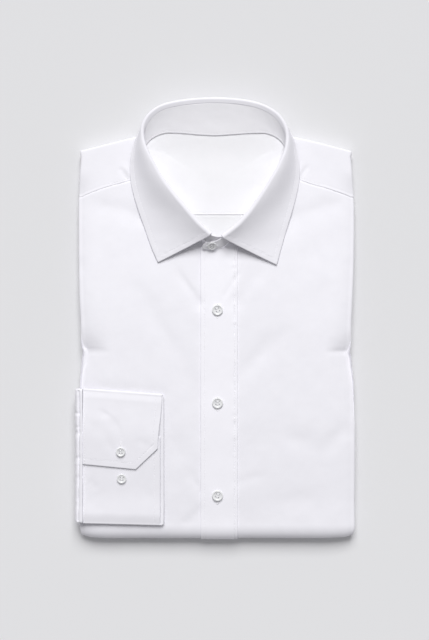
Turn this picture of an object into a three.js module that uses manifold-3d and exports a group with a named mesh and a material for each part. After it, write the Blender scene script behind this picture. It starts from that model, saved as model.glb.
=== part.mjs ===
// Folded dress shirt lying face up on a table: fronts, placket, yoke, collar and one cuff.
// Millimetres, +Z up.  +Y runs from the folded tail to the collar, +X is the wearer's left.
// The origin is under the middle of the whole pack, on the table.
//
// Each piece of cloth is a wall.  The body pieces share one map: a place across the garment
// and a place along it give a point on the outside of the folded pack, and a depth under it.
// Across, the cloth is flat, then rolls round the side and is tucked back inward.  Along, it
// runs down the top, round the bottom fold and back under the pack as the folded-up tail.

import * as THREE from 'three';
import { mergeVertices } from 'three/addons/utils/BufferGeometryUtils.js';
import Module from 'manifold-3d';

const wasm = await Module();
wasm.setup();

// ---------------------------------------------------------------- driving dimensions
const WALL = 1.2;              // body cloth wall
const GAP = 0.3;               // between neighbouring pieces
const STACK = 20.0;            // pack thickness over the folded tail
const STACK_SHOULDER = 13.0;   // pack thickness at the shoulder fold
const SHOULDER_RAMP = 190;     // length over which the thickness changes
const STACK_BOTTOM = 17.0;     // pack thickness at the bottom fold, eased down to from above it
const BOTTOM_EASE = { from: -90, to: -205 };
const BOTTOM_EDGE_Y = -221.0;  // outside of the bottom fold
const CROWN = 1.0;             // rise of the top between its side folds
const CROWN_HALF = 128;        // half width of that rise
const SIDE_LAYER = 1.2;        // half of the slot between the side folds
const TUCK = 8;                // cloth tucked inward behind a side fold
const TAIL_INSET = 1.2;        // the tail's sides lie this much further in
const TAIL_END_Y = 103.0;      // where the folded-up tail ends, under the pack
const YOKE_END_Y = 103.6;      // where the yoke's back part ends, under the pack

const PLACKET = { left: -14.6, right: 22.6, wall: 1.0 };
const UNDERLAP_X = 21.2;       // the right front runs under the placket to here
const LINING = { wall: 1.2, drop: 3.2, half: 88, seamY: 104.3, lowY: 56, highY: 176 };

const STAND_WALL = 1.6;
const STAND_BOW = 0.4;         // how far the back of the stand is bowed
const LEAF_WALL = 1.2;
const LEAF_RISE = 3.4;         // the leaf's rise above the stand before it folds
const CUFF_WALL = 1.2;
const BUTTON = { d: 11, t: 2.4, hole: 1.5, pitch: 1.45 };
const SMALL_BUTTON = { d: 9.6, t: 2.2, hole: 1.3, pitch: 1.25 };

// side edges of the pack, with a small nick where the tail's hem lies behind them
const OUTLINE = [
  { y: 167.5, left: -134.5, right: 135.3 },
  { y: 154.0, left: -135.5, right: 137.3 },
  { y: 138.9, left: -136.5, right: 138.3 },
  { y: 108.9, left: -137.2, right: 139.8 },
  { y: 58.7, left: -137.2, right: 139.6 },
  { y: 28.6, left: -136.5, right: 138.6 },
  { y: -1.5, left: -135.3, right: 137.1 },
  { y: -28.0, left: -133.7, right: 135.3 },
  { y: -33.1, left: -131.5, right: 133.8 },
  { y: -38.6, left: -133.5, right: 135.8 },
  { y: -76.7, left: -135.5, right: 139.3 },
  { y: -131.9, left: -135.5, right: 140.4 },
  { y: -210.2, left: -136.0, right: 140.4 },
  { y: -220.2, left: -135.6, right: 140.0 },
];

// outside of the fold along the shoulders and behind the neck
const SHOULDER_EDGE = [
  { x: -135.4, y: 168.6 },
  { x: -111.2, y: 174.7 },
  { x: -85.9, y: 181.2 },
  { x: -65.7, y: 185.8 },
  { x: -40.5, y: 189.3 },
  { x: 0.9, y: 189.5 },
  { x: 42.3, y: 189.3 },
  { x: 65.5, y: 186.8 },
  { x: 77.6, y: 183.3 },
  { x: 105.9, y: 176.5 },
  { x: 136.2, y: 168.6 },
];

// yoke seam on each shoulder
const YOKE_SEAM = [
  { x: -136.8, y: 120.3 },
  { x: -127.5, y: 125.1 },
  { x: -119.5, y: 128.3 },
  { x: -110.5, y: 131.5 },
  { x: -100.4, y: 134.4 },
  { x: -84.9, y: 138.7 },
  { x: -69.4, y: 142.5 },
  { x: 69.2, y: 143.5 },
  { x: 85.2, y: 138.9 },
  { x: 100.2, y: 133.9 },
  { x: 110.3, y: 131.3 },
  { x: 120.3, y: 127.9 },
  { x: 130.3, y: 124.4 },
  { x: 137.7, y: 120.9 },
];

// broad soft folds of the fronts: a line, its half width and how far it lifts the cloth
const FOLDS = [
  { x0: -120, y0: 136, x1: -74, y1: 114, width: 9, lift: -0.7 },
  { x0: -108, y0: 104, x1: -72, y1: 122, width: 9, lift: 0.6 },
  { x0: -104, y0: 48, x1: -60, y1: 4, width: 8, lift: -0.7 },
  { x0: -42, y0: 54, x1: -25, y1: 32, width: 7, lift: -0.7 },
  { x0: 22, y0: 20, x1: 62, y1: 52, width: 8, lift: -0.8 },
  { x0: 84, y0: 118, x1: 130, y1: 126, width: 9, lift: -0.7 },
  { x0: 84, y0: 96, x1: 130, y1: 100, width: 11, lift: 0.6 },
  { x0: -50, y0: -12, x1: -18, y1: -80, width: 9, lift: -0.6 },
  { x0: 24, y0: -22, x1: 56, y1: 18, width: 8, lift: -0.6 },
  { x0: 60, y0: -150, x1: 136, y1: -128, width: 10, lift: -0.7 },
];

// collar, a row for each section from the middle of the back to the end at the front:
// f = top of its fold, s = seam at the neck, e = outer edge of the leaf,
// roll = radius of the fold, hang = 1 where the leaf hangs straight down behind the neck
const COLLAR_RIGHT = [
  { fx: 0.9, fy: 219.0, fz: 22.0, sx: 0.9, sy: 183.9, sz: 14.2, ex: 0.9, ey: 206.5, ez: 1.2, roll: 1.6, hang: 1 },
  { fx: -19.9, fy: 218.2, fz: 22.0, sx: -17.2, sy: 184.7, sz: 14.2, ex: -20.4, ey: 205.8, ez: 1.2, roll: 1.6, hang: 1 },
  { fx: -39.6, fy: 215.6, fz: 22.2, sx: -35.3, sy: 186.2, sz: 14.2, ex: -40.2, ey: 203.4, ez: 1.3, roll: 1.6, hang: 1 },
  { fx: -54.4, fy: 211.4, fz: 22.6, sx: -50.3, sy: 186.2, sz: 14.3, ex: -54.6, ey: 200.0, ez: 1.6, roll: 1.6, hang: 1 },
  { fx: -65.0, fy: 203.9, fz: 23.0, sx: -61.4, sy: 182.0, sz: 14.6, ex: -65.0, ey: 195.8, ez: 2.4, roll: 1.6, hang: 0.9 },
  { fx: -71.2, fy: 194.4, fz: 23.8, sx: -67.9, sy: 176.2, sz: 15.0, ex: -72.6, ey: 191.5, ez: 5.5, roll: 1.6, hang: 0.55 },
  { fx: -72.8, fy: 184.4, fz: 25.2, sx: -70.8, sy: 170.1, sz: 15.3, ex: -79.4, ey: 181.0, ez: 13.6, roll: 1.6, hang: 0.2 },
  { fx: -70.6, fy: 172.5, fz: 27.4, sx: -70.8, sy: 163.0, sz: 15.6, ex: -83.9, ey: 165.2, ez: 14.8, roll: 1.6, hang: 0 },
  { fx: -64.7, fy: 159.2, fz: 29.6, sx: -67.3, sy: 150.9, sz: 16.0, ex: -85.2, ey: 149.0, ez: 14.9, roll: 1.7, hang: 0 },
  { fx: -56.3, fy: 143.3, fz: 31.2, sx: -60.2, sy: 136.7, sz: 16.6, ex: -83.3, ey: 131.9, ez: 15.7, roll: 1.9, hang: 0 },
  { fx: -45.4, fy: 127.5, fz: 32.2, sx: -50.1, sy: 121.6, sz: 17.4, ex: -77.7, ey: 111.7, ez: 16.7, roll: 2.2, hang: 0 },
  { fx: -31.6, fy: 110.7, fz: 33.0, sx: -38.1, sy: 106.0, sz: 18.2, ex: -70.6, ey: 91.0, ez: 17.8, roll: 2.5, hang: 0 },
  { fx: -17.8, fy: 94.9, fz: 33.8, sx: -24.1, sy: 89.4, sz: 19.2, ex: -63.6, ey: 71.5, ez: 19.0, roll: 2.6, hang: 0 },
  { fx: -5.0, fy: 83.1, fz: 34.4, sx: -10.1, sy: 77.4, sz: 20.8, ex: -57.0, ey: 56.4, ez: 20.3, roll: 2.4, hang: 0 },
];
const COLLAR_LEFT = [
  { fx: 20.7, fy: 218.0, fz: 22.0, sx: 21.0, sy: 185.2, sz: 14.2, ex: 21.2, ey: 205.5, ez: 1.2, roll: 1.6, hang: 1 },
  { fx: 38.4, fy: 215.2, fz: 22.1, sx: 38.1, sy: 186.2, sz: 14.2, ex: 39.2, ey: 203.0, ez: 1.3, roll: 1.6, hang: 1 },
  { fx: 52.3, fy: 210.1, fz: 22.5, sx: 51.1, sy: 186.0, sz: 14.3, ex: 52.6, ey: 198.8, ez: 1.6, roll: 1.6, hang: 1 },
  { fx: 63.1, fy: 202.4, fz: 23.0, sx: 61.2, sy: 182.0, sz: 14.6, ex: 63.4, ey: 194.6, ez: 2.4, roll: 1.6, hang: 0.9 },
  { fx: 69.5, fy: 192.9, fz: 23.8, sx: 67.7, sy: 176.2, sz: 15.0, ex: 71.6, ey: 190.4, ez: 5.5, roll: 1.6, hang: 0.55 },
  { fx: 72.1, fy: 183.0, fz: 25.2, sx: 70.7, sy: 169.1, sz: 15.3, ex: 78.2, ey: 181.0, ez: 13.6, roll: 1.6, hang: 0.2 },
  { fx: 71.2, fy: 170.1, fz: 27.4, sx: 70.4, sy: 161.0, sz: 15.6, ex: 82.7, ey: 164.2, ez: 14.8, roll: 1.6, hang: 0 },
  { fx: 66.4, fy: 156.2, fz: 29.6, sx: 66.6, sy: 148.9, sz: 15.9, ex: 84.7, ey: 148.0, ez: 14.9, roll: 1.7, hang: 0 },
  { fx: 58.5, fy: 140.9, fz: 31.2, sx: 59.5, sy: 134.7, sz: 16.5, ex: 83.1, ey: 131.9, ez: 15.7, roll: 1.9, hang: 0 },
  { fx: 48.6, fy: 125.0, fz: 32.2, sx: 50.4, sy: 120.1, sz: 17.3, ex: 78.5, ey: 112.7, ez: 16.7, roll: 2.2, hang: 0 },
  { fx: 36.8, fy: 108.2, fz: 33.0, sx: 39.4, sy: 105.0, sz: 18.1, ex: 72.4, ey: 92.5, ez: 17.8, roll: 2.5, hang: 0 },
  { fx: 23.5, fy: 93.0, fz: 33.8, sx: 24.9, sy: 87.4, sz: 19.2, ex: 66.9, ey: 73.5, ez: 19.0, roll: 2.6, hang: 0 },
  { fx: 7.8, fy: 80.6, fz: 34.4, sx: 8.9, sy: 72.4, sz: 21.1, ex: 61.3, ey: 53.9, ez: 20.4, roll: 2.4, hang: 0 },
];
// the stand's two ends run on past the leaf and overlap: s = lower edge, t = upper edge
const UNDERLAP_END = [
  { sx: -0.5, sy: 75.8, sz: 21.1, tx: 2.6, ty: 81.6, tz: 26.6 },
  { sx: 8.0, sy: 77.0, sz: 21.2, tx: 9.4, ty: 81.8, tz: 24.8 },
];
const TAB_END = [
  { sx: 0.6, sy: 70.2, sz: 21.2, tx: 1.2, ty: 77.2, tz: 27.2 },
  { sx: -7.2, sy: 69.2, sz: 21.3, tx: -7.4, ty: 75.6, tz: 26.6 },
  { sx: -11.0, sy: 69.4, sz: 22.0, tx: -11.2, ty: 74.2, tz: 25.8 },
  { sx: -12.4, sy: 70.2, sz: 22.9, tx: -12.5, ty: 72.6, tz: 24.8 },
];

// cuff lying on the right front, its length across the sleeve.  Edges by distance from the sleeve seam.
const CUFF = {
  seamX: -131.8,
  hemTop: -53.4, hemBottom: -57.4,     // hem edge of the overlap at its fold and at its corner
  backHem: -51.6, underHem: -55.2,     // hem edges of the back layer and of the underlap
  topLeftY: -70.3, topRightY: -76.2,   // upper fold
  endLeftY: -145.1, endRightY: -150.2, // free edge of the overlap
  mitreX: -79.3, cornerY: -129.5,      // mitred corner
  bottomLeftY: -204.4, bottomRightY: -206.4, // lower fold
  underEndY: -118,                     // hidden end of the underlap
  backLift: 1.0, underLift: 2.9, overLift: 4.7, // mid heights of the three layers over the front
};
// sleeve between the cuff and the side of the pack: pleats as ridges across it
const SLEEVE = {
  thick: 4.9, sideThick: 4.0, tuckThick: 1.5, tuckLength: 6, topY: -70.2, bottomY: -204.6,
  rings: [0.1, 0.45, 0.8, 1.15, 1.57, 2.0, 2.4, 2.8, Math.PI],
};
const PLEATS = [
  { y: -76, width: 3.5, lift: 0.5 },
  { y: -93.5, width: 2.6, lift: -0.6 },
  { y: -104, width: 4.0, lift: 0.5 },
  { y: -114, width: 2.6, lift: -0.7 },
  { y: -140, width: 3.2, lift: -0.6 },
  { y: -152, width: 4.0, lift: 0.4 },
  { y: -182, width: 3.2, lift: -0.5 },
];

// buttons: centre on the placket or cuff
const FRONT_BUTTONS = [
  { name: 'button_front_1', x: 2.4, y: 8.5 },
  { name: 'button_front_2', x: 2.4, y: -84.4 },
  { name: 'button_front_3', x: 2.4, y: -177.2 },
];
const CUFF_BUTTONS = [
  { name: 'button_cuff_1', x: -94.1, y: -133.0, lift: CUFF.overLift },
  { name: 'button_cuff_2', x: -93.3, y: -160.0, lift: CUFF.underLift },
];

// ---------------------------------------------------------------- small tools
const V = (x, y, z) => new THREE.Vector3(x, y, z);
const mix = (a, b, t) => a + (b - a) * t;
const clamp = (v, a, b) => Math.min(b, Math.max(a, v));
const smooth = (a, b, v) => { const t = clamp((v - a) / (b - a), 0, 1); return t * t * (3 - 2 * t); };
const mixV = (a, b, t) => a.clone().lerp(b, t);

function lookup(rows, key, value, at) {
  const up = rows[0][key] < rows[rows.length - 1][key];
  const r = up ? rows : rows.slice().reverse();
  if (at <= r[0][key]) return r[0][value];
  for (let i = 1; i < r.length; i++) {
    if (at <= r[i][key]) return mix(r[i - 1][value], r[i][value], (at - r[i - 1][key]) / (r[i][key] - r[i - 1][key]));
  }
  return r[r.length - 1][value];
}

// smooth curve through table rows at a fractional row number
function along(rows, keys, at) {
  const n = rows.length, i = clamp(Math.floor(at), 0, n - 2), t = at - i;
  const p = (j) => rows[clamp(j, 0, n - 1)];
  return keys.map((k) => {
    const a = i > 0 ? p(i - 1)[k] : 2 * p(0)[k] - p(1)[k];
    const b = p(i)[k], c = p(i + 1)[k];
    const d = i + 2 < n ? p(i + 2)[k] : 2 * p(n - 1)[k] - p(n - 2)[k];
    return 0.5 * (2 * b + (c - a) * t + (2 * a - 5 * b + 4 * c - d) * t * t + (3 * b - 3 * c + d - a) * t * t * t);
  });
}

// closed wall between two grids of points of the same size
function wallBetween(outer, inner) {
  const rows = outer.length, cols = outer[0].length;
  const pos = [];
  for (const g of [outer, inner]) for (const row of g) for (const p of row) pos.push(p.x, p.y, p.z);
  const o = (r, c) => r * cols + c, n = (r, c) => rows * cols + r * cols + c;
  const idx = [];
  const quad = (a, b, c, d) => idx.push(a, b, c, a, c, d);
  for (let r = 0; r < rows - 1; r++) for (let c = 0; c < cols - 1; c++) {
    quad(o(r, c), o(r, c + 1), o(r + 1, c + 1), o(r + 1, c));
    quad(n(r, c), n(r + 1, c), n(r + 1, c + 1), n(r, c + 1));
  }
  for (let c = 0; c < cols - 1; c++) {
    quad(o(0, c), n(0, c), n(0, c + 1), o(0, c + 1));
    quad(o(rows - 1, c), o(rows - 1, c + 1), n(rows - 1, c + 1), n(rows - 1, c));
  }
  for (let r = 0; r < rows - 1; r++) {
    quad(o(r, 0), o(r + 1, 0), n(r + 1, 0), n(r, 0));
    quad(o(r, cols - 1), n(r, cols - 1), n(r + 1, cols - 1), o(r + 1, cols - 1));
  }
  return closed(pos, idx);
}

// closed solid through rings of points of the same count, its two ends capped
function loft(rings) {
  const n = rings[0].length, pos = [], idx = [];
  for (const ring of rings) for (const p of ring) pos.push(p.x, p.y, p.z);
  for (let r = 0; r < rings.length - 1; r++) for (let i = 0; i < n; i++) {
    const j = (i + 1) % n, a = r * n + i, b = r * n + j;
    idx.push(a, b, b + n, a, b + n, a + n);
  }
  for (const [r, flip] of [[0, true], [rings.length - 1, false]]) {
    const ring = rings[r];
    const normal = ring.reduce((s, p, i) => s.add(p.clone().cross(ring[(i + 1) % n])), V(0, 0, 0));
    const ax = ['x', 'y', 'z'].sort((a, b) => Math.abs(normal[b]) - Math.abs(normal[a]))[0];
    const [u, v] = { x: ['y', 'z'], y: ['z', 'x'], z: ['x', 'y'] }[ax];
    const tris = THREE.ShapeUtils.triangulateShape(ring.map((p) => new THREE.Vector2(p[u], p[v])), []);
    const sense = normal[ax] > 0;
    for (const [a, b, c] of tris) {
      if (sense !== flip) idx.push(r * n + a, r * n + b, r * n + c); else idx.push(r * n + a, r * n + c, r * n + b);
    }
  }
  return closed(pos, idx);
}

function closed(pos, idx) {
  let g = new THREE.BufferGeometry();
  g.setAttribute('position', new THREE.Float32BufferAttribute(pos, 3));
  g.setIndex(idx);
  let volume = 0;
  for (let i = 0; i < idx.length; i += 3) {
    const [a, b, c] = [0, 1, 2].map((k) => V(pos[3 * idx[i + k]], pos[3 * idx[i + k] + 1], pos[3 * idx[i + k] + 2]));
    volume += a.dot(b.cross(c)) / 6;
  }
  if (volume < 0) for (let i = 0; i < idx.length; i += 3) [idx[i + 1], idx[i + 2]] = [idx[i + 2], idx[i + 1]];
  g.setIndex(idx);
  return mergeVertices(g, 1e-3);
}

// offset grids on both sides of a middle surface
function normals(grid) {
  const rows = grid.length, cols = grid[0].length;
  return grid.map((row, r) => row.map((p, c) => {
    const du = grid[r][Math.min(c + 1, cols - 1)].clone().sub(grid[r][Math.max(c - 1, 0)]);
    const dv = grid[Math.min(r + 1, rows - 1)][c].clone().sub(grid[Math.max(r - 1, 0)][c]);
    return du.cross(dv).normalize();
  }));
}
function thicken(grid, wall) {
  const n = normals(grid);
  const side = (s) => grid.map((row, r) => row.map((p, c) => p.clone().addScaledVector(n[r][c], s * wall / 2)));
  return wallBetween(side(1), side(-1));
}

// ---------------------------------------------------------------- the folded pack
const R = STACK_BOTTOM / 2, RS = STACK_SHOULDER / 2;
const BOTTOM_AXIS_Y = BOTTOM_EDGE_Y + R;
const topFoldY = (x) => lookup(SHOULDER_EDGE, 'x', 'y', x) - RS;
const plainZ = (x, y) => STACK_SHOULDER + (STACK - STACK_SHOULDER) * smooth(0, SHOULDER_RAMP, topFoldY(x) - y)
  - (STACK - STACK_BOTTOM) * smooth(-BOTTOM_EASE.from, -BOTTOM_EASE.to, -y);
const edge = (side, y) => Math.abs(lookup(OUTLINE, 'y', side < 0 ? 'left' : 'right', y));
const sideX = (x, y) => Math.abs(x) / edge(x, y);

const settle = (x, y) => smooth(0, 35, y - BOTTOM_AXIS_Y) * smooth(0, 45, topFoldY(x) - y) * (1 - smooth(0.86, 0.96, sideX(x, y)));
const crown = (x, y) => CROWN * Math.max(0, 1 - (x / CROWN_HALF) ** 2) * settle(x, y);
function lift(x, y) {
  let z = 0;
  for (const f of FOLDS) {
    const dx = f.x1 - f.x0, dy = f.y1 - f.y0, len2 = dx * dx + dy * dy;
    const t = clamp(((x - f.x0) * dx + (y - f.y0) * dy) / len2, 0, 1);
    const d = Math.hypot(x - f.x0 - t * dx, y - f.y0 - t * dy);
    z += f.lift * Math.exp(-(d * d) / (f.width * f.width));
  }
  return z * settle(x, y) + crown(x, y);
}
const topZ = (x, y) => plainZ(x, y) + lift(x, y);

// place across the garment: flat cloth at x, or an angle round the side fold, or the tucked part
function section(col, y, inset) {
  if (col.x !== undefined) return { x: col.x, d: 0, nx: 0, nd: 1, xe: col.x };
  const xs = edge(col.side, y) - inset;
  const half = plainZ(col.side * 128, y) / 2;
  const r = (half - SIDE_LAYER) / 2;
  const xe = col.side * (xs - r);
  if (col.roll !== undefined) {
    const s = Math.sin(col.roll), c = Math.cos(col.roll);
    return { x: xe + col.side * r * s, d: r * (1 - c), nx: -col.side * s, nd: c, xe };
  }
  return { x: xe - col.side * col.tuck, d: 2 * r, nx: 0, nd: -1, xe };
}
const placed = (s, depth) => ({ x: s.x + s.nx * depth, d: s.d + s.nd * depth });

// point of the pack: part of the way along, place across, depth under the outside
function packPoint(kind, at, col, depth) {
  if (kind === 'top') {
    const s = section(col, at, 0), p = placed(s, depth);
    return V(p.x, at, topZ(s.xe, at) - p.d);
  }
  if (kind === 'bottom') {                     // round the bottom fold, at = angle
    const y = BOTTOM_AXIS_Y, s = section(col, y, TAIL_INSET * (1 - Math.cos(at)) / 2), p = placed(s, depth);
    return V(p.x, y - (R - p.d) * Math.sin(at), R + (R - p.d) * Math.cos(at));
  }
  if (kind === 'tail') {
    const s = section(col, at, TAIL_INSET), p = placed(s, depth);
    return V(p.x, at, p.d);
  }
  // round the shoulder fold, at = angle, and back under it ('under')
  const s = section(col, kind === 'shoulder' ? 150 : Math.min(at, 150), 0), p = placed(s, depth);
  if (kind === 'shoulder') {
    return V(p.x, topFoldY(s.xe) + (RS - p.d) * Math.sin(at), RS + (RS - p.d) * Math.cos(at));
  }
  return V(p.x, at, p.d);
}

const rollColumns = (side, steps) => Array.from({ length: steps + 1 }, (_, i) => ({ side, roll: Math.PI * i / steps }));
const flatColumns = (xs) => xs.map((x) => ({ x }));

// neck seam: the collar's rows in one list, from the right front end round the back to the left front end
const COLLAR = [...COLLAR_RIGHT.slice().reverse(), ...COLLAR_LEFT];
const BACK_ROW = COLLAR_RIGHT.length - 1;
const neckLine = [];
for (let i = 0; i <= 4 * (COLLAR.length - 1); i++) {
  const [x, y] = along(COLLAR, ['sx', 'sy'], i / 4);
  neckLine.push({ x, y });
}
// the neck seam's place at x, on its front or its back half
function neckY(x, back) {
  const widest = neckLine.reduce((m, p, i) => (x < 0 ? p.x < neckLine[m].x : p.x > neckLine[m].x) ? i : m, 0);
  const part = (x < 0) === back ? neckLine.slice(widest) : neckLine.slice(0, widest + 1);
  let best = part[0].y, gap = Infinity;
  for (let i = 1; i < part.length; i++) {
    const a = part[i - 1], b = part[i];
    if ((x - a.x) * (x - b.x) <= 0 && a.x !== b.x) {
      const y = mix(a.y, b.y, (x - a.x) / (b.x - a.x));
      if (!back && y < 160 && gap === Infinity) { best = y; gap = 0; }
      if (back && y > 160) { best = y; gap = 0; }
    }
  }
  return best;
}
const NECK_RIGHT_X = -69.4, NECK_LEFT_X = 69.2;   // the yoke lies outside these, and behind the neck
const seamY = (x) => lookup(YOKE_SEAM, 'x', 'y', x);

// ---------------------------------------------------------------- fronts
// start of a front at x: the yoke seam, or the neck seam
function frontStart(x) {
  if (x <= NECK_RIGHT_X || x >= NECK_LEFT_X) return seamY(x) - GAP / 2;
  if (x > -10 && x < 9) return 71.2;
  return neckY(x, false);
}
// the front is pressed in under the placket where the tail lies on the table
const underPlacket = (x) => (x !== undefined && x > PLACKET.left - 0.4 && x < PLACKET.right + 0.4 ? 1 : 0);
const SEAT = GAP + PLACKET.wall;

function front(cols, rows) {
  const grid = (depth) => rows.map(([kind, f]) => cols.map((col) => {
    const seat = underPlacket(col.x) * SEAT;
    if (kind === 'top') {
      const xe = section(col, 150, 0).xe;
      return packPoint('top', mix(frontStart(xe), BOTTOM_AXIS_Y, f), col, depth);
    }
    if (kind === 'bottom') return packPoint('bottom', Math.PI * f, col, depth + seat * smooth(0, 1, f));
    return packPoint('tail', mix(BOTTOM_AXIS_Y, TAIL_END_Y, f), col, depth + seat);
  }));
  return wallBetween(grid(0), grid(WALL));
}
const FRONT_ROWS = [];
for (let i = 0; i <= 12; i++) FRONT_ROWS.push(['top', i / 12]);
for (let i = 1; i <= 6; i++) FRONT_ROWS.push(['bottom', i / 6]);
FRONT_ROWS.push(['tail', 0.5], ['tail', 1]);

const rightFront = front([
  { side: -1, tuck: TUCK }, ...rollColumns(-1, 5).reverse(),
  ...flatColumns([-112, -90, NECK_RIGHT_X, -66, -56, -44, -30, -15.4, -14.8, -8, 6, UNDERLAP_X]),
], FRONT_ROWS);
const leftFront = front([
  ...flatColumns([UNDERLAP_X + GAP, 22.8, 23.4, 34, 46, 57, 65, NECK_LEFT_X, 92, 114]), ...rollColumns(1, 5),
  { side: 1, tuck: TUCK },
], FRONT_ROWS);

// ---------------------------------------------------------------- placket, laid on the fronts
function placketStart(x) { return x < 9.5 ? 70.9 : neckY(x, false); }
function onPlacket(kind, at, x, up) {           // up = distance over the front's own surface
  if (kind === 'top') return V(x, at, topZ(x, at) + up);
  if (kind === 'bottom') return packPoint('bottom', at, { x }, SEAT * smooth(0, 1, at / Math.PI) - up);
  return V(x, at, SEAT - up);
}
const placketColumns = [PLACKET.left, -8, 2.4, 9.4, 9.6, 16, PLACKET.right];
const placketGrid = (up) => FRONT_ROWS.map(([kind, f]) => placketColumns.map((x) => {
  if (kind === 'top') return onPlacket('top', mix(placketStart(x), BOTTOM_AXIS_Y, f), x, up);
  if (kind === 'bottom') return onPlacket('bottom', Math.PI * f, x, up);
  return onPlacket('tail', mix(BOTTOM_AXIS_Y, TAIL_END_Y, f), x, up);
}));
const placket = wallBetween(placketGrid(GAP + PLACKET.wall), placketGrid(GAP));

// ---------------------------------------------------------------- yoke
const SHOULDER_STEPS = 6, FLAT_STEPS = 2;
const isNeck = (x) => x > NECK_RIGHT_X && x < NECK_LEFT_X;
function yokeColumn(col, depth) {
  const xe = section(col, 150, 0).xe, fold = topFoldY(xe);
  const start = isNeck(xe) ? neckY(xe, true) : seamY(xe) + GAP / 2;
  const a0 = start > fold ? Math.asin(clamp((start - fold) / RS, 0, 0.9)) : 0;
  const out = [];
  for (let i = 0; i <= FLAT_STEPS; i++) {
    const f = i / FLAT_STEPS;
    out.push(start > fold ? packPoint('shoulder', a0 * (0.9 + 0.1 * f), col, depth) : packPoint('top', mix(start, fold, f), col, depth));
  }
  for (let i = 1; i <= SHOULDER_STEPS; i++) out.push(packPoint('shoulder', mix(a0, Math.PI, i / SHOULDER_STEPS), col, depth));
  for (let i = 1; i <= 2; i++) out.push(packPoint('under', mix(fold, YOKE_END_Y, i / 2), col, depth));
  return out;
}
function turned(columns) { return columns[0].map((_, r) => columns.map((c) => c[r])); }
const yokeColumns = [
  { side: -1, tuck: 5 }, ...rollColumns(-1, 4).reverse(),
  ...flatColumns([-112, -90, NECK_RIGHT_X, -68.4, -65, -58, -46, -24, 1, 24, 46, 58, 65, 68.2, NECK_LEFT_X, 92, 114]),
  ...rollColumns(1, 4), { side: 1, tuck: 5 },
];
const yoke = wallBetween(
  turned(yokeColumns.map((c) => yokeColumn(c, 0))),
  turned(yokeColumns.map((c) => yokeColumn(c, WALL))));

// ---------------------------------------------------------------- inside of the neck
// inner yoke and back panel, lying one on the other just under the fronts
const liningTop = (x, y) => plainZ(x, y) + crown(x, y) - LINING.drop + 1.2 * smooth(171, 183, y) * (1 - smooth(50, 62, Math.abs(x)));
function innerSheet(y0, y1, drop, xs) {
  const steps = 4;
  const grid = (up) => Array.from({ length: steps + 1 }, (_, i) => xs.map((x) => {
    const y = mix(y0(x), y1(x), i / steps);
    return V(x, y, liningTop(x, y) - drop + up);
  }));
  return wallBetween(grid(0), grid(-LINING.wall));
}
const innerXs = [-88, -66, -56, -38, -19, 1, 19, 38, 56, 66, 88];
const liningHigh = (x) => (Math.abs(x) < 60 ? neckY(x, true) - 1.9 : Math.min(LINING.highY, topFoldY(x) - 6));
const yokeLining = innerSheet(liningHigh, () => LINING.seamY, 0, innerXs);
const backPanel = innerSheet(() => LINING.seamY - GAP, () => LINING.lowY, 0.4, innerXs);

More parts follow.
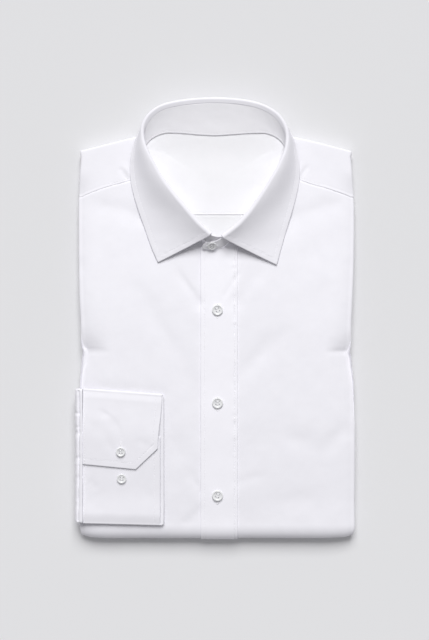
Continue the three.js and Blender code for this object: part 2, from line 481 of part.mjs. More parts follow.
// hidden layers: one rounded solid inside the body pieces, with a thin layered edge in each side slot
const CORE_WALL = WALL + GAP;
const CORE_DROP = CORE_WALL + 0.9;    // the core stays clear of the deepest fold
const ySpan = topFoldY(0) - BOTTOM_AXIS_Y;
const tOf = (y) => (y - BOTTOM_AXIS_Y) / ySpan;
const POCKET_T = tOf(54.5);
const besidePlacket = (x) => x > PLACKET.left - 1 && x < PLACKET.right + 1;
function coreRing(t) {
  // t < 0 runs into the bottom fold, t > 1 into the shoulder fold
  const xsFlat = [-110, -92.2, -91.8, -60, -15.8, -15.2, 4, 23.2, 23.8, 60, 91.8, 92.2, 110];
  const yAt = (x) => {
    const fold = topFoldY(x);
    if (t < 0) return BOTTOM_AXIS_Y - (R - CORE_DROP) * Math.sin(-t * Math.PI / 2);
    if (t > 1) return fold + (RS - CORE_WALL) * Math.sin((t - 1) * Math.PI / 2);
    return mix(BOTTOM_AXIS_Y, fold, t);
  };
  const halfAt = () => (t < 0 ? (R - CORE_DROP) * Math.cos(-t * Math.PI / 2) : t > 1 ? (RS - CORE_WALL) * Math.cos((t - 1) * Math.PI / 2) : null);
  const blockX = (side) => {
    const y = clamp(yAt(side * 120), -210, 150);
    const r = (plainZ(side * 128, y) / 2 - SIDE_LAYER) / 2;
    return side * (edge(side, y) - TAIL_INSET - r - TUCK - 2.4);
  };
  const pocket = (x) => Math.abs(x) < 92 && t > POCKET_T;
  const top = (x) => {
    const y = yAt(x), h = halfAt();
    if (t < 0) return V(x, y, R + Math.max(0.2, h - (besidePlacket(x) ? SEAT : 0)));
    if (t > 1) return V(x, y, RS + h * (Math.abs(x) < 92 ? 0.25 : 1));
    return V(x, y, pocket(x) ? liningTop(x, y) - LINING.wall - 0.4 - 2 * GAP : plainZ(x, y) + crown(x, y) - CORE_DROP);
  };
  const bottom = (x) => {
    const y = yAt(x), h = halfAt();
    if (h !== null) {
      return V(x, y, (t < 0 ? R : RS) - Math.max(0.2, h - (t < 0 && besidePlacket(x) ? SEAT : 0)));
    }
    return V(x, y, CORE_WALL + (besidePlacket(x) && y < TAIL_END_Y + 12 ? SEAT : 0));
  };
  const xl = blockX(-1), xr = blockX(1);
  const xs = [xl, ...xsFlat, xr];
  const ring = [];
  for (const x of xs) ring.push(top(x));
  const flange = (side) => {
    const x = side < 0 ? xl : xr, y = yAt(x);
    const sleeve = side < 0 && y < SLEEVE.topY + 6 && y > SLEEVE.bottomY - 14;
    const open = t >= 0 && y < 148 && !sleeve;
    const reach = open ? edge(side, clamp(y, -210, 160)) - 3 : Math.abs(x) + 0.4;
    const mid = t < 0 ? R : t > 1 ? RS : plainZ(side * 128, y) / 2;
    const thin = Math.min(SIDE_LAYER - GAP, halfAt() === null ? 9 : Math.max(0.15, halfAt() * 0.5));
    const slope = (xx) => (t < 0 ? yAt(x) : t > 1 ? yAt(x) : mix(BOTTOM_AXIS_Y, topFoldY(x), t)) + 0 * xx;
    return [V(x, slope(x), mid + thin), V(side * reach, slope(reach), mid + thin), V(side * reach, slope(reach), mid - thin), V(x, slope(x), mid - thin)];
  };
  ring.push(...flange(1));
  for (const x of xs.slice().reverse()) ring.push(bottom(x));
  ring.push(...flange(-1).reverse());
  return ring;
}
const coreTs = [-0.94, -0.68, -0.36, -0.02, 0.0];
for (const y of [-200, -148, -95, -60, -20, 20, 54.2, 54.8, 80, 106, 120, 140, 158, 164]) coreTs.push(tOf(y));
coreTs.push(1.0, 1.35, 1.7, 1.9);
const foldedLayers = loft(coreTs.map(coreRing));

// ---------------------------------------------------------------- collar
const LAST = COLLAR.length - 1;
function foldNormal(at) {               // outward, level, square to the fold line
  const a = along(COLLAR, ['fx', 'fy'], Math.max(0, at - 0.25)), b = along(COLLAR, ['fx', 'fy'], Math.min(LAST, at + 0.25));
  const t = V(b[0] - a[0], b[1] - a[1], 0).normalize();
  return V(-t.y, t.x, 0);
}
function collarSection(at) {
  const [fx, fy, fz, sx, sy, sz, ex, ey, ez, roll, hang] = along(COLLAR,
    ['fx', 'fy', 'fz', 'sx', 'sy', 'sz', 'ex', 'ey', 'ez', 'roll', 'hang'], at);
  const F = V(fx, fy, fz), S = V(sx, sy, sz), E = V(ex, ey, ez), n = foldNormal(at);
  const lean = Math.atan2(fz - sz, F.clone().sub(S).dot(n));
  const arc = (b) => F.clone().add(V(0, 0, -roll + roll * Math.cos(b))).addScaledVector(n, roll * Math.sin(b));
  const A = arc(-lean);
  const T = A.clone().addScaledVector(n, -Math.cos(lean) * LEAF_RISE).add(V(0, 0, -Math.sin(lean) * LEAF_RISE));
  return { F, S, E, T, A, arc, lean, n, hang: clamp(hang, 0, 1) };
}
function leafProfile(at) {
  const c = collarSection(at), pts = [mixV(c.T, c.A, 0.06)];
  const run = Math.max(Math.hypot(c.E.x - c.F.x, c.E.y - c.F.y), 4), front = smooth(5.2, 0, Math.min(at, LAST - at));
  const lead = mix(0.33, 3, front);     // the fall's first slope over its mean one: steep at the front, soft beside the neck
  const end = mix(Math.atan(Math.min(lead * (c.F.z - c.E.z) / run, 1.4)), Math.PI / 2, c.hang);
  for (let i = 0; i <= 4; i++) pts.push(c.arc(mix(-c.lean, end, i / 4)));
  const P0 = pts[pts.length - 1], P3 = c.E;
  const H = V(P3.x - P0.x, P3.y - P0.y, 0), drop = P0.z - P3.z, h = c.hang;
  const P1 = P0.clone().addScaledVector(H, mix(0.36, 0.17, front) * (1 - h)).addScaledVector(c.n, 1.0 * h).add(V(0, 0, -drop * mix(mix(0.12, 0.51, front), 0.35, h)));
  const P2 = P3.clone().addScaledVector(H, -mix(0.42, 0.58, front) * (1 - h)).addScaledVector(c.n, 4.0 * h).add(V(0, 0, drop * mix(mix(0.08, 0.14, front), 0.3, h)));
  const curve = new THREE.CubicBezierCurve3(P0, P1, P2, P3);
  for (let i = 1; i <= 5; i++) pts.push(curve.getPoint(i / 5));
  return pts;
}
const sections = [];
for (let i = 0; i <= LAST; i++) sections.push(i);
const collarLeaf = thicken(turned(sections.map(leafProfile)), LEAF_WALL);

const standColumn = (S, T, sag) => [0, 0.25, 0.5, 0.75, 1].map((f) => (sag ? mixV(S, T, f).addScaledVector(sag, 4 * f * (1 - f)) : mixV(S, T, f)));
// behind the neck the stand is bowed: flatter at its seam, steeper at its top
const standSag = (c) => c.n.clone().multiplyScalar(Math.sin(c.lean)).add(V(0, 0, -Math.cos(c.lean))).multiplyScalar(STAND_BOW * c.hang);
const standEnds = (rows) => rows.map((r) => standColumn(V(r.sx, r.sy, r.sz), V(r.tx, r.ty, r.tz)));
const standColumns = [
  ...standEnds(UNDERLAP_END).reverse(),
  ...sections.map((at) => { const c = collarSection(at); return standColumn(c.S, mixV(c.T, c.S, 0.03), standSag(c)); }),
  ...standEnds(TAB_END),
];
const collarStand = thicken(turned(standColumns), STAND_WALL);

// ---------------------------------------------------------------- cuff
// one band, folded flat: overlap on top, upper fold, back layer, lower fold, underlap between them
const cuffF = [0, 0.3, 0.5, 0.67, 0.83, 0.96, 1];
function cuffPath(f) {
  const x = (hem) => mix(CUFF.seamX, hem, f);
  const topY = mix(CUFF.topLeftY, CUFF.topRightY, f), bottomY = mix(CUFF.bottomLeftY, CUFF.bottomRightY, f);
  const base = (xx, y) => topZ(xx, y);
  const end = (xx) => (xx < CUFF.mitreX
    ? mix(CUFF.endLeftY, CUFF.endRightY, (xx - CUFF.seamX) / (CUFF.mitreX - CUFF.seamX))
    : mix(CUFF.endRightY, CUFF.cornerY, (xx - CUFF.mitreX) / (CUFF.hemBottom - CUFF.mitreX)));
  const pts = [];
  const rOver = (CUFF.overLift - CUFF.backLift) / 2, rUnder = (CUFF.underLift - CUFF.backLift) / 2;
  const over0 = topY - rOver, end0 = end(x(CUFF.hemBottom));
  for (let i = 0; i <= 4; i++) {
    const y = mix(end0, over0, i / 4), xx = x(mix(CUFF.hemBottom, CUFF.hemTop, smooth(0, 1, (y - CUFF.cornerY) / (over0 - CUFF.cornerY))));
    pts.push(V(xx, y, base(xx, y) + CUFF.overLift));
  }
  const foldBase = base(x(CUFF.hemTop), over0);
  for (let i = 1; i <= 4; i++) {
    const a = Math.PI * i / 4, xx = x(mix(CUFF.hemTop, CUFF.backHem, i / 4));
    pts.push(V(xx, over0 + rOver * Math.sin(a), foldBase + CUFF.backLift + rOver * (1 + Math.cos(a))));
  }
  const under0 = bottomY + rUnder;
  for (let i = 1; i <= 5; i++) {
    const y = mix(over0, under0, i / 5), xx = x(CUFF.backHem);
    pts.push(V(xx, y, base(xx, y) + CUFF.backLift));
  }
  const lowBase = base(x(CUFF.underHem), under0);
  for (let i = 1; i <= 4; i++) {
    const a = Math.PI * i / 4, xx = x(mix(CUFF.backHem, CUFF.underHem, i / 4));
    pts.push(V(xx, under0 - rUnder * Math.sin(a), lowBase + CUFF.backLift + rUnder * (1 - Math.cos(a))));
  }
  for (let i = 1; i <= 3; i++) {
    const y = mix(under0, CUFF.underEndY, i / 3), xx = x(CUFF.underHem);
    pts.push(V(xx, y, base(xx, y) + CUFF.underLift));
  }
  return pts;
}
const cuff = thicken(turned(cuffF.map(cuffPath)), CUFF_WALL);

// ---------------------------------------------------------------- sleeve
// flattened tube from the cuff's seam, round the side fold and into the slot behind it
function sleeveRing(at) {          // at = angle round the side fold, then the length in the slot
  const yMid = (SLEEVE.topY + SLEEVE.bottomY) / 2;
  const x0 = CUFF.seamX - GAP - 0.2, a0 = SLEEVE.rings[0];
  const thick = at <= Math.PI / 2 ? mix(SLEEVE.thick, SLEEVE.sideThick, smooth(0, Math.PI / 2, at))
    : mix(SLEEVE.sideThick, SLEEVE.tuckThick, smooth(Math.PI / 2, Math.PI, at));
  const place = (y, out) => {
    const zTop = plainZ(-128, y), r = (zTop / 2 - SIDE_LAYER) / 2;
    const cx = -(edge(-1, y) - r), cz = zTop - r;
    const q = mix(r + 0.75, r + 0.45, smooth(1.6, Math.PI, at)) + out;
    if (at === a0) return V(x0, y, cz + Math.sqrt(q * q - (cx - x0) ** 2));
    if (at <= Math.PI) return V(cx - q * Math.sin(at), y, cz + q * Math.cos(at));
    return V(cx + at - Math.PI, y, cz - q);
  };
  const half = (SLEEVE.topY - SLEEVE.bottomY) / 2, e = Math.min(thick / 2, 2), n = 12, ring = [];
  const swell = smooth(a0, 0.9, at) * (1 - smooth(2.2, Math.PI, at));
  const pleat = (y) => swell * PLEATS.reduce((sum, p) => sum + p.lift * Math.exp(-(((y - p.y) / p.width) ** 2)), 0);
  for (let i = 0; i <= n; i++) {        // outer side, from the lower end to the upper
    const y = mix(yMid - half + e, yMid + half - e, i / n);
    ring.push(place(y, thick + pleat(y)));
  }
  ring.push(place(yMid + half, thick / 2));
  for (let i = 4; i >= 0; i--) ring.push(place(mix(yMid - half + e, yMid + half - e, i / 4), 0));
  ring.push(place(yMid - half, thick / 2));
  return ring;
}
const sleeve = loft([...SLEEVE.rings, Math.PI + SLEEVE.tuckLength].map(sleeveRing));

// ---------------------------------------------------------------- buttons
function buttonGeometry(b) {
  const r = b.d / 2, seg = 16;
  const profile = [
    [0, 0], [r * 0.72, 0], [r * 0.94, b.t * 0.28], [r, b.t * 0.5], [r * 0.97, b.t * 0.82], [r * 0.86, b.t],
    [r * 0.72, b.t * 0.93], [r * 0.6, b.t * 0.66], [0, b.t * 0.6],
  ].map(([x, y]) => new THREE.Vector2(x, y));
  const solid = (g) => {
    const m = mergeVertices(new THREE.BufferGeometry().setAttribute('position', g.attributes.position.clone()).setIndex(g.index), 1e-4);
    return new wasm.Manifold(new wasm.Mesh({ numProp: 3, vertProperties: m.attributes.position.array, triVerts: new Uint32Array(m.index.array) }));
  };
  const turn = (g) => g.rotateX(Math.PI / 2);   // lathe axis to +Z
  let body = solid(turn(new THREE.LatheGeometry(profile, seg)));
  if (body.volume() < 0) throw new Error('button profile turned inward');
  for (const [i, j] of [[-1, -1], [-1, 1], [1, -1], [1, 1]]) {
    const h = new THREE.CylinderGeometry(b.hole / 2, b.hole / 2, b.t * 4, 6);
    body = body.subtract(solid(turn(h).translate(i * b.pitch, j * b.pitch, 0)));
  }
  const mesh = body.getMesh(), g = new THREE.BufferGeometry();
  g.setAttribute('position', new THREE.Float32BufferAttribute(Array.from(mesh.vertProperties), 3));
  g.setIndex(Array.from(mesh.triVerts));
  return g;
}

// ---------------------------------------------------------------- scene graph
const CLOTH = { color: 0xf4f5f8, roughness: 0.78, metalness: 0 };
const PEARL = { color: 0xe9eaee, roughness: 0.32, metalness: 0 };
const root = new THREE.Group();
function add(name, geometry, look) {
  const mesh = new THREE.Mesh(geometry, new THREE.MeshStandardMaterial(look));
  mesh.name = name;
  root.add(mesh);
  return mesh;
}
add('folded_layers', foldedLayers, CLOTH);
add('front_right', rightFront, CLOTH);
add('front_left', leftFront, CLOTH);
add('placket', placket, CLOTH);
add('yoke', yoke, CLOTH);
add('yoke_lining', yokeLining, CLOTH);
add('back_panel', backPanel, CLOTH);
add('collar_stand', collarStand, CLOTH);
add('collar_leaf', collarLeaf, CLOTH);
add('cuff_right', cuff, CLOTH);
add('sleeve_right', sleeve, CLOTH);

for (const b of FRONT_BUTTONS) {
  add(b.name, buttonGeometry(BUTTON), PEARL).position.set(b.x, b.y, topZ(b.x, b.y) + GAP + PLACKET.wall + 0.35);
}
for (const b of CUFF_BUTTONS) {
  add(b.name, buttonGeometry(SMALL_BUTTON), PEARL).position.set(b.x, b.y, topZ(b.x, b.y) + b.lift + CUFF_WALL / 2 + 0.35);
}
{ // the collar button lies on the tab's outer face
  const [a, b] = [TAB_END[0], TAB_END[1]];
  const S = V((a.sx + b.sx) / 2, (a.sy + b.sy) / 2, (a.sz + b.sz) / 2), T = V((a.tx + b.tx) / 2, (a.ty + b.ty) / 2, (a.tz + b.tz) / 2);
  const up = T.clone().sub(S).normalize();
  const across = V(a.sx - b.sx, a.sy - b.sy, a.sz - b.sz).normalize();
  const out = across.clone().cross(up).normalize();
  if (out.y > 0) out.negate();
  const mesh = add('button_collar', buttonGeometry(SMALL_BUTTON), PEARL);
  const yAxis = out.clone().cross(across).normalize();
  mesh.quaternion.setFromRotationMatrix(new THREE.Matrix4().makeBasis(across, yAxis, out));
  mesh.position.copy(mixV(S, T, 0.52)).addScaledVector(out, STAND_WALL / 2 + 0.35);
}

export default root;
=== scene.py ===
# Folded dress shirt, face up.  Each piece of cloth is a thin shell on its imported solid's form:
# the fronts, placket and yoke share one map of the folded pack, the collar, cuff and sleeve
# have sections of their own.  Tables are in millimetres; meshes are made in metres.
import math

import bpy
import numpy as np
from mathutils import Matrix, Vector


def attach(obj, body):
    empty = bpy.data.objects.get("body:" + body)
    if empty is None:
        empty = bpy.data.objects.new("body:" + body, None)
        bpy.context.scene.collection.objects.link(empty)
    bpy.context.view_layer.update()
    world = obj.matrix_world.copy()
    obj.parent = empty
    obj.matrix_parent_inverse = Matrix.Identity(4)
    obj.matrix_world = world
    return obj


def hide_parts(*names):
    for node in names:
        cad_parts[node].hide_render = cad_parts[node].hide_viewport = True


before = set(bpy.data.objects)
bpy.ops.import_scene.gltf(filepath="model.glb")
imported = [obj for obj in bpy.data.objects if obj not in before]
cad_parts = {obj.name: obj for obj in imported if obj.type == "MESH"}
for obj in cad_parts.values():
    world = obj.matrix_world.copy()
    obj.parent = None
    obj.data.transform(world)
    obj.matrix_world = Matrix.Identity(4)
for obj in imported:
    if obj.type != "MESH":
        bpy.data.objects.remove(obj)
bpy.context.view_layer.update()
MM = 0.001

# ---------------------------------------------------------------- camera, floor and light
scene = bpy.context.scene
cam_data = bpy.data.cameras.new("camera")
cam = bpy.data.objects.new("camera", cam_data)
scene.collection.objects.link(cam)
cam_data.sensor_width = 36.0
cam_data.lens = 78.75
cam_data.clip_start, cam_data.clip_end = 0.05, 50.0
cam.location = (-0.0006, -0.0015, 1.420)
cam.rotation_euler = (0.0, 0.0, 0.0)
scene.camera = cam


def area_light(name, place, aim, size_x, size_y, power, colour=(1, 1, 1)):
    data = bpy.data.lights.new(name, "AREA")
    data.shape = "RECTANGLE"
    data.size, data.size_y = size_x, size_y
    data.energy = power
    data.color = colour
    ob = bpy.data.objects.new(name, data)
    scene.collection.objects.link(ob)
    ob.location = place
    ob.rotation_euler = (Vector(aim) - Vector(place)).to_track_quat("-Z", "Y").to_euler()
    return ob


KEY_DIST, KEY_ELEV = 8.0, math.radians(47)
area_light("key_light", (0.0, KEY_DIST * math.cos(KEY_ELEV), KEY_DIST * math.sin(KEY_ELEV)), (0, 0, 0.01),
           4.4, 4.8, 656.0, (1.0, 1.0, 1.0))

world = bpy.data.worlds.new("world")
world.use_nodes = True
world.node_tree.nodes["Background"].inputs["Color"].default_value = (0.985, 0.985, 1.0, 1.0)
world.node_tree.nodes["Background"].inputs["Strength"].default_value = 0.322
scene.world = world
scene.view_settings.view_transform = "Standard"
scene.view_settings.look = "None"
scene.view_settings.exposure = 0.0
scene.view_settings.gamma = 1.0

# ---------------------------------------------------------------- tables, as in the solids
R, RS, AXIS_Y = 8.5, 6.5, -207.5
WIDE = 13.7 / R                       # the bottom fold is drawn out lengthwise
SIDE_LAYER, TUCK, TAIL_INSET = 1.2, 8.0, 1.2
TAIL_END_Y, YOKE_END_Y = 103.0, 103.6
PLACKET_L, PLACKET_R = -14.6, 22.6
UNDERLAP_X, SEAT = 21.2, 1.3
NECK_RX, NECK_LX = -69.4, 69.2

OUTLINE = np.array([  # y, left, right
    [167.5, -134.5, 135.3], [154.0, -135.5, 137.3], [138.9, -136.5, 138.3], [108.9, -137.2, 139.8],
    [58.7, -137.2, 139.6], [28.6, -136.5, 138.6], [-1.5, -135.3, 137.1], [-28.0, -134.1, 135.7],
    [-33.1, -132.7, 134.7], [-38.6, -133.7, 136.2], [-76.7, -135.5, 139.3], [-131.9, -135.5, 140.4],
    [-210.2, -136.0, 140.4], [-220.2, -135.6, 140.0]])
SHOULDER_EDGE = np.array([  # x, y
    [-135.4, 168.6], [-111.2, 174.7], [-85.9, 181.2], [-65.7, 185.8], [-40.5, 189.3], [0.9, 189.5],
    [42.3, 189.3], [65.5, 186.8], [77.6, 183.3], [105.9, 176.5], [136.2, 168.6]])
YOKE_SEAM = np.array([
    [-136.8, 120.3], [-127.5, 125.1], [-119.5, 128.3], [-110.5, 131.5], [-100.4, 134.4], [-84.9, 138.7],
    [-69.4, 142.5], [69.2, 143.5], [85.2, 138.9], [100.2, 133.9], [110.3, 131.3], [120.3, 127.9],
    [130.3, 124.4], [137.7, 120.9]])
KEYS = ["fx", "fy", "fz", "sx", "sy", "sz", "ex", "ey", "ez", "roll", "hang"]
COLLAR_RIGHT = np.array([
    [0.9, 219, 22, 0.9, 183.9, 14.2, 0.9, 206.5, 1.2, 1.6, 1],
    [-19.9, 218.2, 22, -17.2, 184.7, 14.2, -20.4, 205.8, 1.2, 1.6, 1],
    [-39.6, 215.6, 22.2, -35.3, 186.2, 14.2, -40.2, 203.4, 1.3, 1.6, 1],
    [-54.4, 211.4, 22.6, -50.3, 186.2, 14.3, -54.6, 200, 1.6, 1.6, 1],
    [-65, 203.9, 23, -61.4, 182, 14.6, -65, 195.8, 2.4, 1.6, 0.9],
    [-71.2, 194.4, 23.8, -67.9, 176.2, 15, -72.6, 191.5, 5.5, 1.6, 0.55],
    [-72.8, 184.4, 25.2, -70.8, 170.1, 15.3, -79.4, 181, 13.6, 1.6, 0.2],
    [-70.6, 172.5, 27.4, -70.8, 163, 15.6, -83.9, 165.2, 14.8, 1.6, 0],
    [-64.7, 159.2, 29.6, -67.3, 150.9, 16, -85.2, 149, 14.9, 1.7, 0],
    [-56.3, 143.3, 31.2, -60.2, 136.7, 16.6, -83.3, 131.9, 15.7, 1.9, 0],
    [-45.4, 127.5, 32.2, -50.1, 121.6, 17.4, -77.7, 111.7, 16.7, 2.2, 0],
    [-31.6, 110.7, 33, -38.1, 106, 18.2, -70.6, 91, 17.8, 2.5, 0],
    [-17.8, 94.9, 33.8, -24.1, 89.4, 19.2, -63.6, 71.5, 19, 2.6, 0],
    [-5, 83.1, 34.4, -10.1, 77.4, 20.8, -57, 56.4, 20.3, 2.4, 0]])
COLLAR_LEFT = np.array([
    [20.7, 218, 22, 21, 185.2, 14.2, 21.2, 205.5, 1.2, 1.6, 1],
    [38.4, 215.2, 22.1, 38.1, 186.2, 14.2, 39.2, 203, 1.3, 1.6, 1],
    [52.3, 210.1, 22.5, 51.1, 186, 14.3, 52.6, 198.8, 1.6, 1.6, 1],
    [63.1, 202.4, 23, 61.2, 182, 14.6, 63.4, 194.6, 2.4, 1.6, 0.9],
    [69.5, 192.9, 23.8, 67.7, 176.2, 15, 71.6, 190.4, 5.5, 1.6, 0.55],
    [72.1, 183, 25.2, 70.7, 169.1, 15.3, 78.2, 181, 13.6, 1.6, 0.2],
    [71.2, 170.1, 27.4, 70.4, 161, 15.6, 82.7, 164.2, 14.8, 1.6, 0],
    [66.4, 156.2, 29.6, 66.6, 148.9, 15.9, 84.7, 148, 14.9, 1.7, 0],
    [58.5, 140.9, 31.2, 59.5, 134.7, 16.5, 83.1, 131.9, 15.7, 1.9, 0],
    [48.6, 125, 32.2, 50.4, 120.1, 17.3, 78.5, 112.7, 16.7, 2.2, 0],
    [36.8, 108.2, 33, 39.4, 105, 18.1, 72.4, 92.5, 17.8, 2.5, 0],
    [23.5, 93, 33.8, 24.9, 87.4, 19.2, 66.9, 73.5, 19, 2.6, 0],
    [7.8, 80.6, 34.4, 8.9, 72.4, 21.1, 61.3, 53.9, 20.4, 2.4, 0]])
COLLAR = np.vstack([COLLAR_RIGHT[::-1], COLLAR_LEFT])
LAST = len(COLLAR) - 1
UNDERLAP_END = np.array([
    [-0.5, 75.8, 21.1, 2.6, 81.6, 26.6],
    [8, 77, 21.2, 9.4, 81.8, 24.8]])
TAB_END = np.array([
    [0.6, 70.2, 21.2, 1.2, 77.2, 27.2],
    [-7.2, 69.2, 21.3, -7.4, 75.6, 26.6],
    [-11, 69.4, 22.0, -11.2, 74.2, 25.8],
    [-12.4, 70.2, 22.9, -12.5, 72.6, 24.8]])
STAND_BOW, LEAF_RISE = 0.4, 3.4
CUFF = dict(seamX=-131.8, hemTop=-53.4, hemBottom=-57.4, backHem=-51.6, underHem=-55.2, topLeftY=-70.3,
            topRightY=-76.2, endLeftY=-145.1, endRightY=-150.2, mitreX=-79.3, cornerY=-129.5,
            bottomLeftY=-204.4, bottomRightY=-206.4, underEndY=-118.0, backLift=1.0, underLift=2.9, overLift=4.7)
SLEEVE = dict(thick=4.9, sideThick=4.0, tuckThick=1.5, tuckLength=6.0, topY=-70.2, bottomY=-204.6)

# creases of the fronts: a bent line through three places, half width, lift (minus is a trough),
# lean (which flank is steeper) and the strength left at each end
CREASES = np.array([
    # x0,    y0,    x1,    y1,    x2,    y2,  width, lift, lean, s0,  s1
    [-131, 117, -103, 110.5, -74, 102, 9.42, -0.765, 0.25, 0.2, 1],
    [-118, 104, -95, 98, -72, 90, 11.6, 0.315, 0, 0, 1],
    [-97, 152.5, -93, 147.5, -87.5, 140.5, 2.09, -0.637, 0, 0, 1],
    [-94, 156, -89, 150, -85.5, 142, 2.64, 0.297, 0, 0, 1],
    [-93, 44, -60, 2, -18, -80, 10.88, -0.742, 0.2, 0, 0.4],
    [-41, 53, -28, 34, -15, 15.5, 5.22, -0.877, 0.2, 0.2, 1],
    [-30, -146, -22, -160, -15, -174, 4.35, -0.473, 0, 0, 1],
    [-34, -209, -26, -203, -16, -192, 5.8, -0.54, 0, 0.4, 1],
    [-45, -110, -38, -128, -30, -148, 8.7, -0.473, 0, 0, 0],
    [132, 118.5, 103, 109.5, 78, 100.5, 9.42, -0.675, -0.25, 0.2, 1],
    [126, 104, 100, 97, 78, 88, 11.6, 0.27, 0, 0, 1],
    [95, 156, 89.5, 148, 85.5, 140, 1.87, -0.552, 0, 0, 1],
    [91, 158, 87, 152, 83.5, 144, 2.64, 0.255, 0, 0, 1],
    [22, 17, 36, 36, 54, 58, 7.25, -0.742, 0, 1, 0],
    [6, 17, 14, 30, 22.6, 44, 2.86, -0.425, 0, 0.2, 1],
    [22, -62, 47, -33, 80, -8, 9.42, -0.742, 0, 1, 0],
    [83, -3, 100, 18, 117, 46, 13.05, -0.608, 0, 0, 0],
    [24, -137, 70, -121, 112, -135, 11.6, -0.675, 0, 0.6, 0.3],
    [106, -144, 120, -121, 138, -104, 9.42, -0.742, 0, 0, 0.5],
    [22.6, -164, 36, -160, 58, -151, 6, -0.375, 0, 1, 0],
    [35, -190, 84, -182, 130, -187, 13.05, -0.54, 0, 0.2, 0.2],
    [80, 66, 96, 62, 110, 66, 10.15, -0.473, 0, 0, 0],
])
NOTCHES = [  # side, y, depth, reach inward, run above, slant
    dict(side=-1, y=-30.6, depth=5.2, reach=26.0, run=12.5, slant=0.05),
    dict(side=1, y=-32.6, depth=5.0, reach=22.0, run=12.5, slant=-0.02),
]


# ---------------------------------------------------------------- small tools
def sm(a, b, v):
    t = np.clip((v - a) / (b - a), 0, 1)
    return t * t * (3 - 2 * t)


def mix(a, b, t):
    return a + (b - a) * t


def curve(xs, ys, at):
    """Smooth curve through a table, without overshoot."""
    xs, ys, at = np.asarray(xs, float), np.asarray(ys, float), np.asarray(at, float)
    if xs[0] > xs[-1]:
        xs, ys = xs[::-1], ys[::-1]
    h = np.diff(xs)
    d = np.diff(ys) / h
    m = np.zeros(len(ys))
    both = d[:-1] * d[1:] > 0
    m[1:-1][both] = 2 * d[:-1][both] * d[1:][both] / (d[:-1][both] + d[1:][both])
    m[0], m[-1] = d[0], d[-1]
    at = np.clip(at, xs[0], xs[-1])
    i = np.clip(np.searchsorted(xs, at) - 1, 0, len(h) - 1)
    t = (at - xs[i]) / h[i]
    t2, t3 = t * t, t * t * t
    return ((2 * t3 - 3 * t2 + 1) * ys[i] + (t3 - 2 * t2 + t) * h[i] * m[i]
            + (3 * t2 - 2 * t3) * ys[i + 1] + (t3 - t2) * h[i] * m[i + 1])


def noise(x, y, scale, seed):
    """Smooth even noise from -1 to 1, the same each run."""
    g = np.random.default_rng(seed).uniform(-1, 1, (64, 64))
    x, y = np.asarray(x) / scale + 1000.0, np.asarray(y) / scale + 1000.0
    xi, yi = np.floor(x).astype(int), np.floor(y).astype(int)
    fx, fy = x - xi, y - yi
    fx, fy = fx * fx * (3 - 2 * fx), fy * fy * (3 - 2 * fy)
    a, b = g[xi % 64, yi % 64], g[(xi + 1) % 64, yi % 64]
    c, d = g[xi % 64, (yi + 1) % 64], g[(xi + 1) % 64, (yi + 1) % 64]
    return (a * (1 - fx) + b * fx) * (1 - fy) + (c * (1 - fx) + d * fx) * fy


def unit(v):
    return v / np.maximum(np.linalg.norm(v, axis=-1, keepdims=True), 1e-12)


def normals(g):
    return unit(np.cross(np.gradient(g, axis=1), np.gradient(g, axis=0)))


def arc(g, axis):
    """Distance along one way of a grid."""
    step = np.linalg.norm(np.diff(g, axis=axis), axis=2)
    zero = np.zeros_like(np.take(step, [0], axis=axis))
    return np.concatenate([zero, np.cumsum(step, axis=axis)], axis=axis)


def build_mesh(name, parts, uvs=None):
    """parts = list of (points, faces as an n by 4 array); uvs = a list of per point u, v in mm."""
    pts = np.concatenate([p for p, _ in parts])
    quads, base = [], 0
    for p, q in parts:
        quads.append(q + base)
        base += len(p)
    quads = np.concatenate(quads).astype(np.int32)
    me = bpy.data.meshes.new(name)
    me.vertices.add(len(pts))
    me.vertices.foreach_set("co", (pts * MM).astype(np.float32).ravel())
    me.loops.add(quads.size)
    me.loops.foreach_set("vertex_index", quads.ravel())
    me.polygons.add(len(quads))
    me.polygons.foreach_set("loop_start", np.arange(0, quads.size, 4, dtype=np.int32))
    me.polygons.foreach_set("use_smooth", np.ones(len(quads), bool))
    me.update(calc_edges=True)
    if uvs is not None:
        uv = np.concatenate(uvs)
        layer = me.uv_layers.new(name="cloth")
        layer.data.foreach_set("uv", (uv[quads.ravel()] * MM).astype(np.float32).ravel())
    me.validate()
    ob = bpy.data.objects.new(name, me)
    scene.collection.objects.link(ob)
    return ob


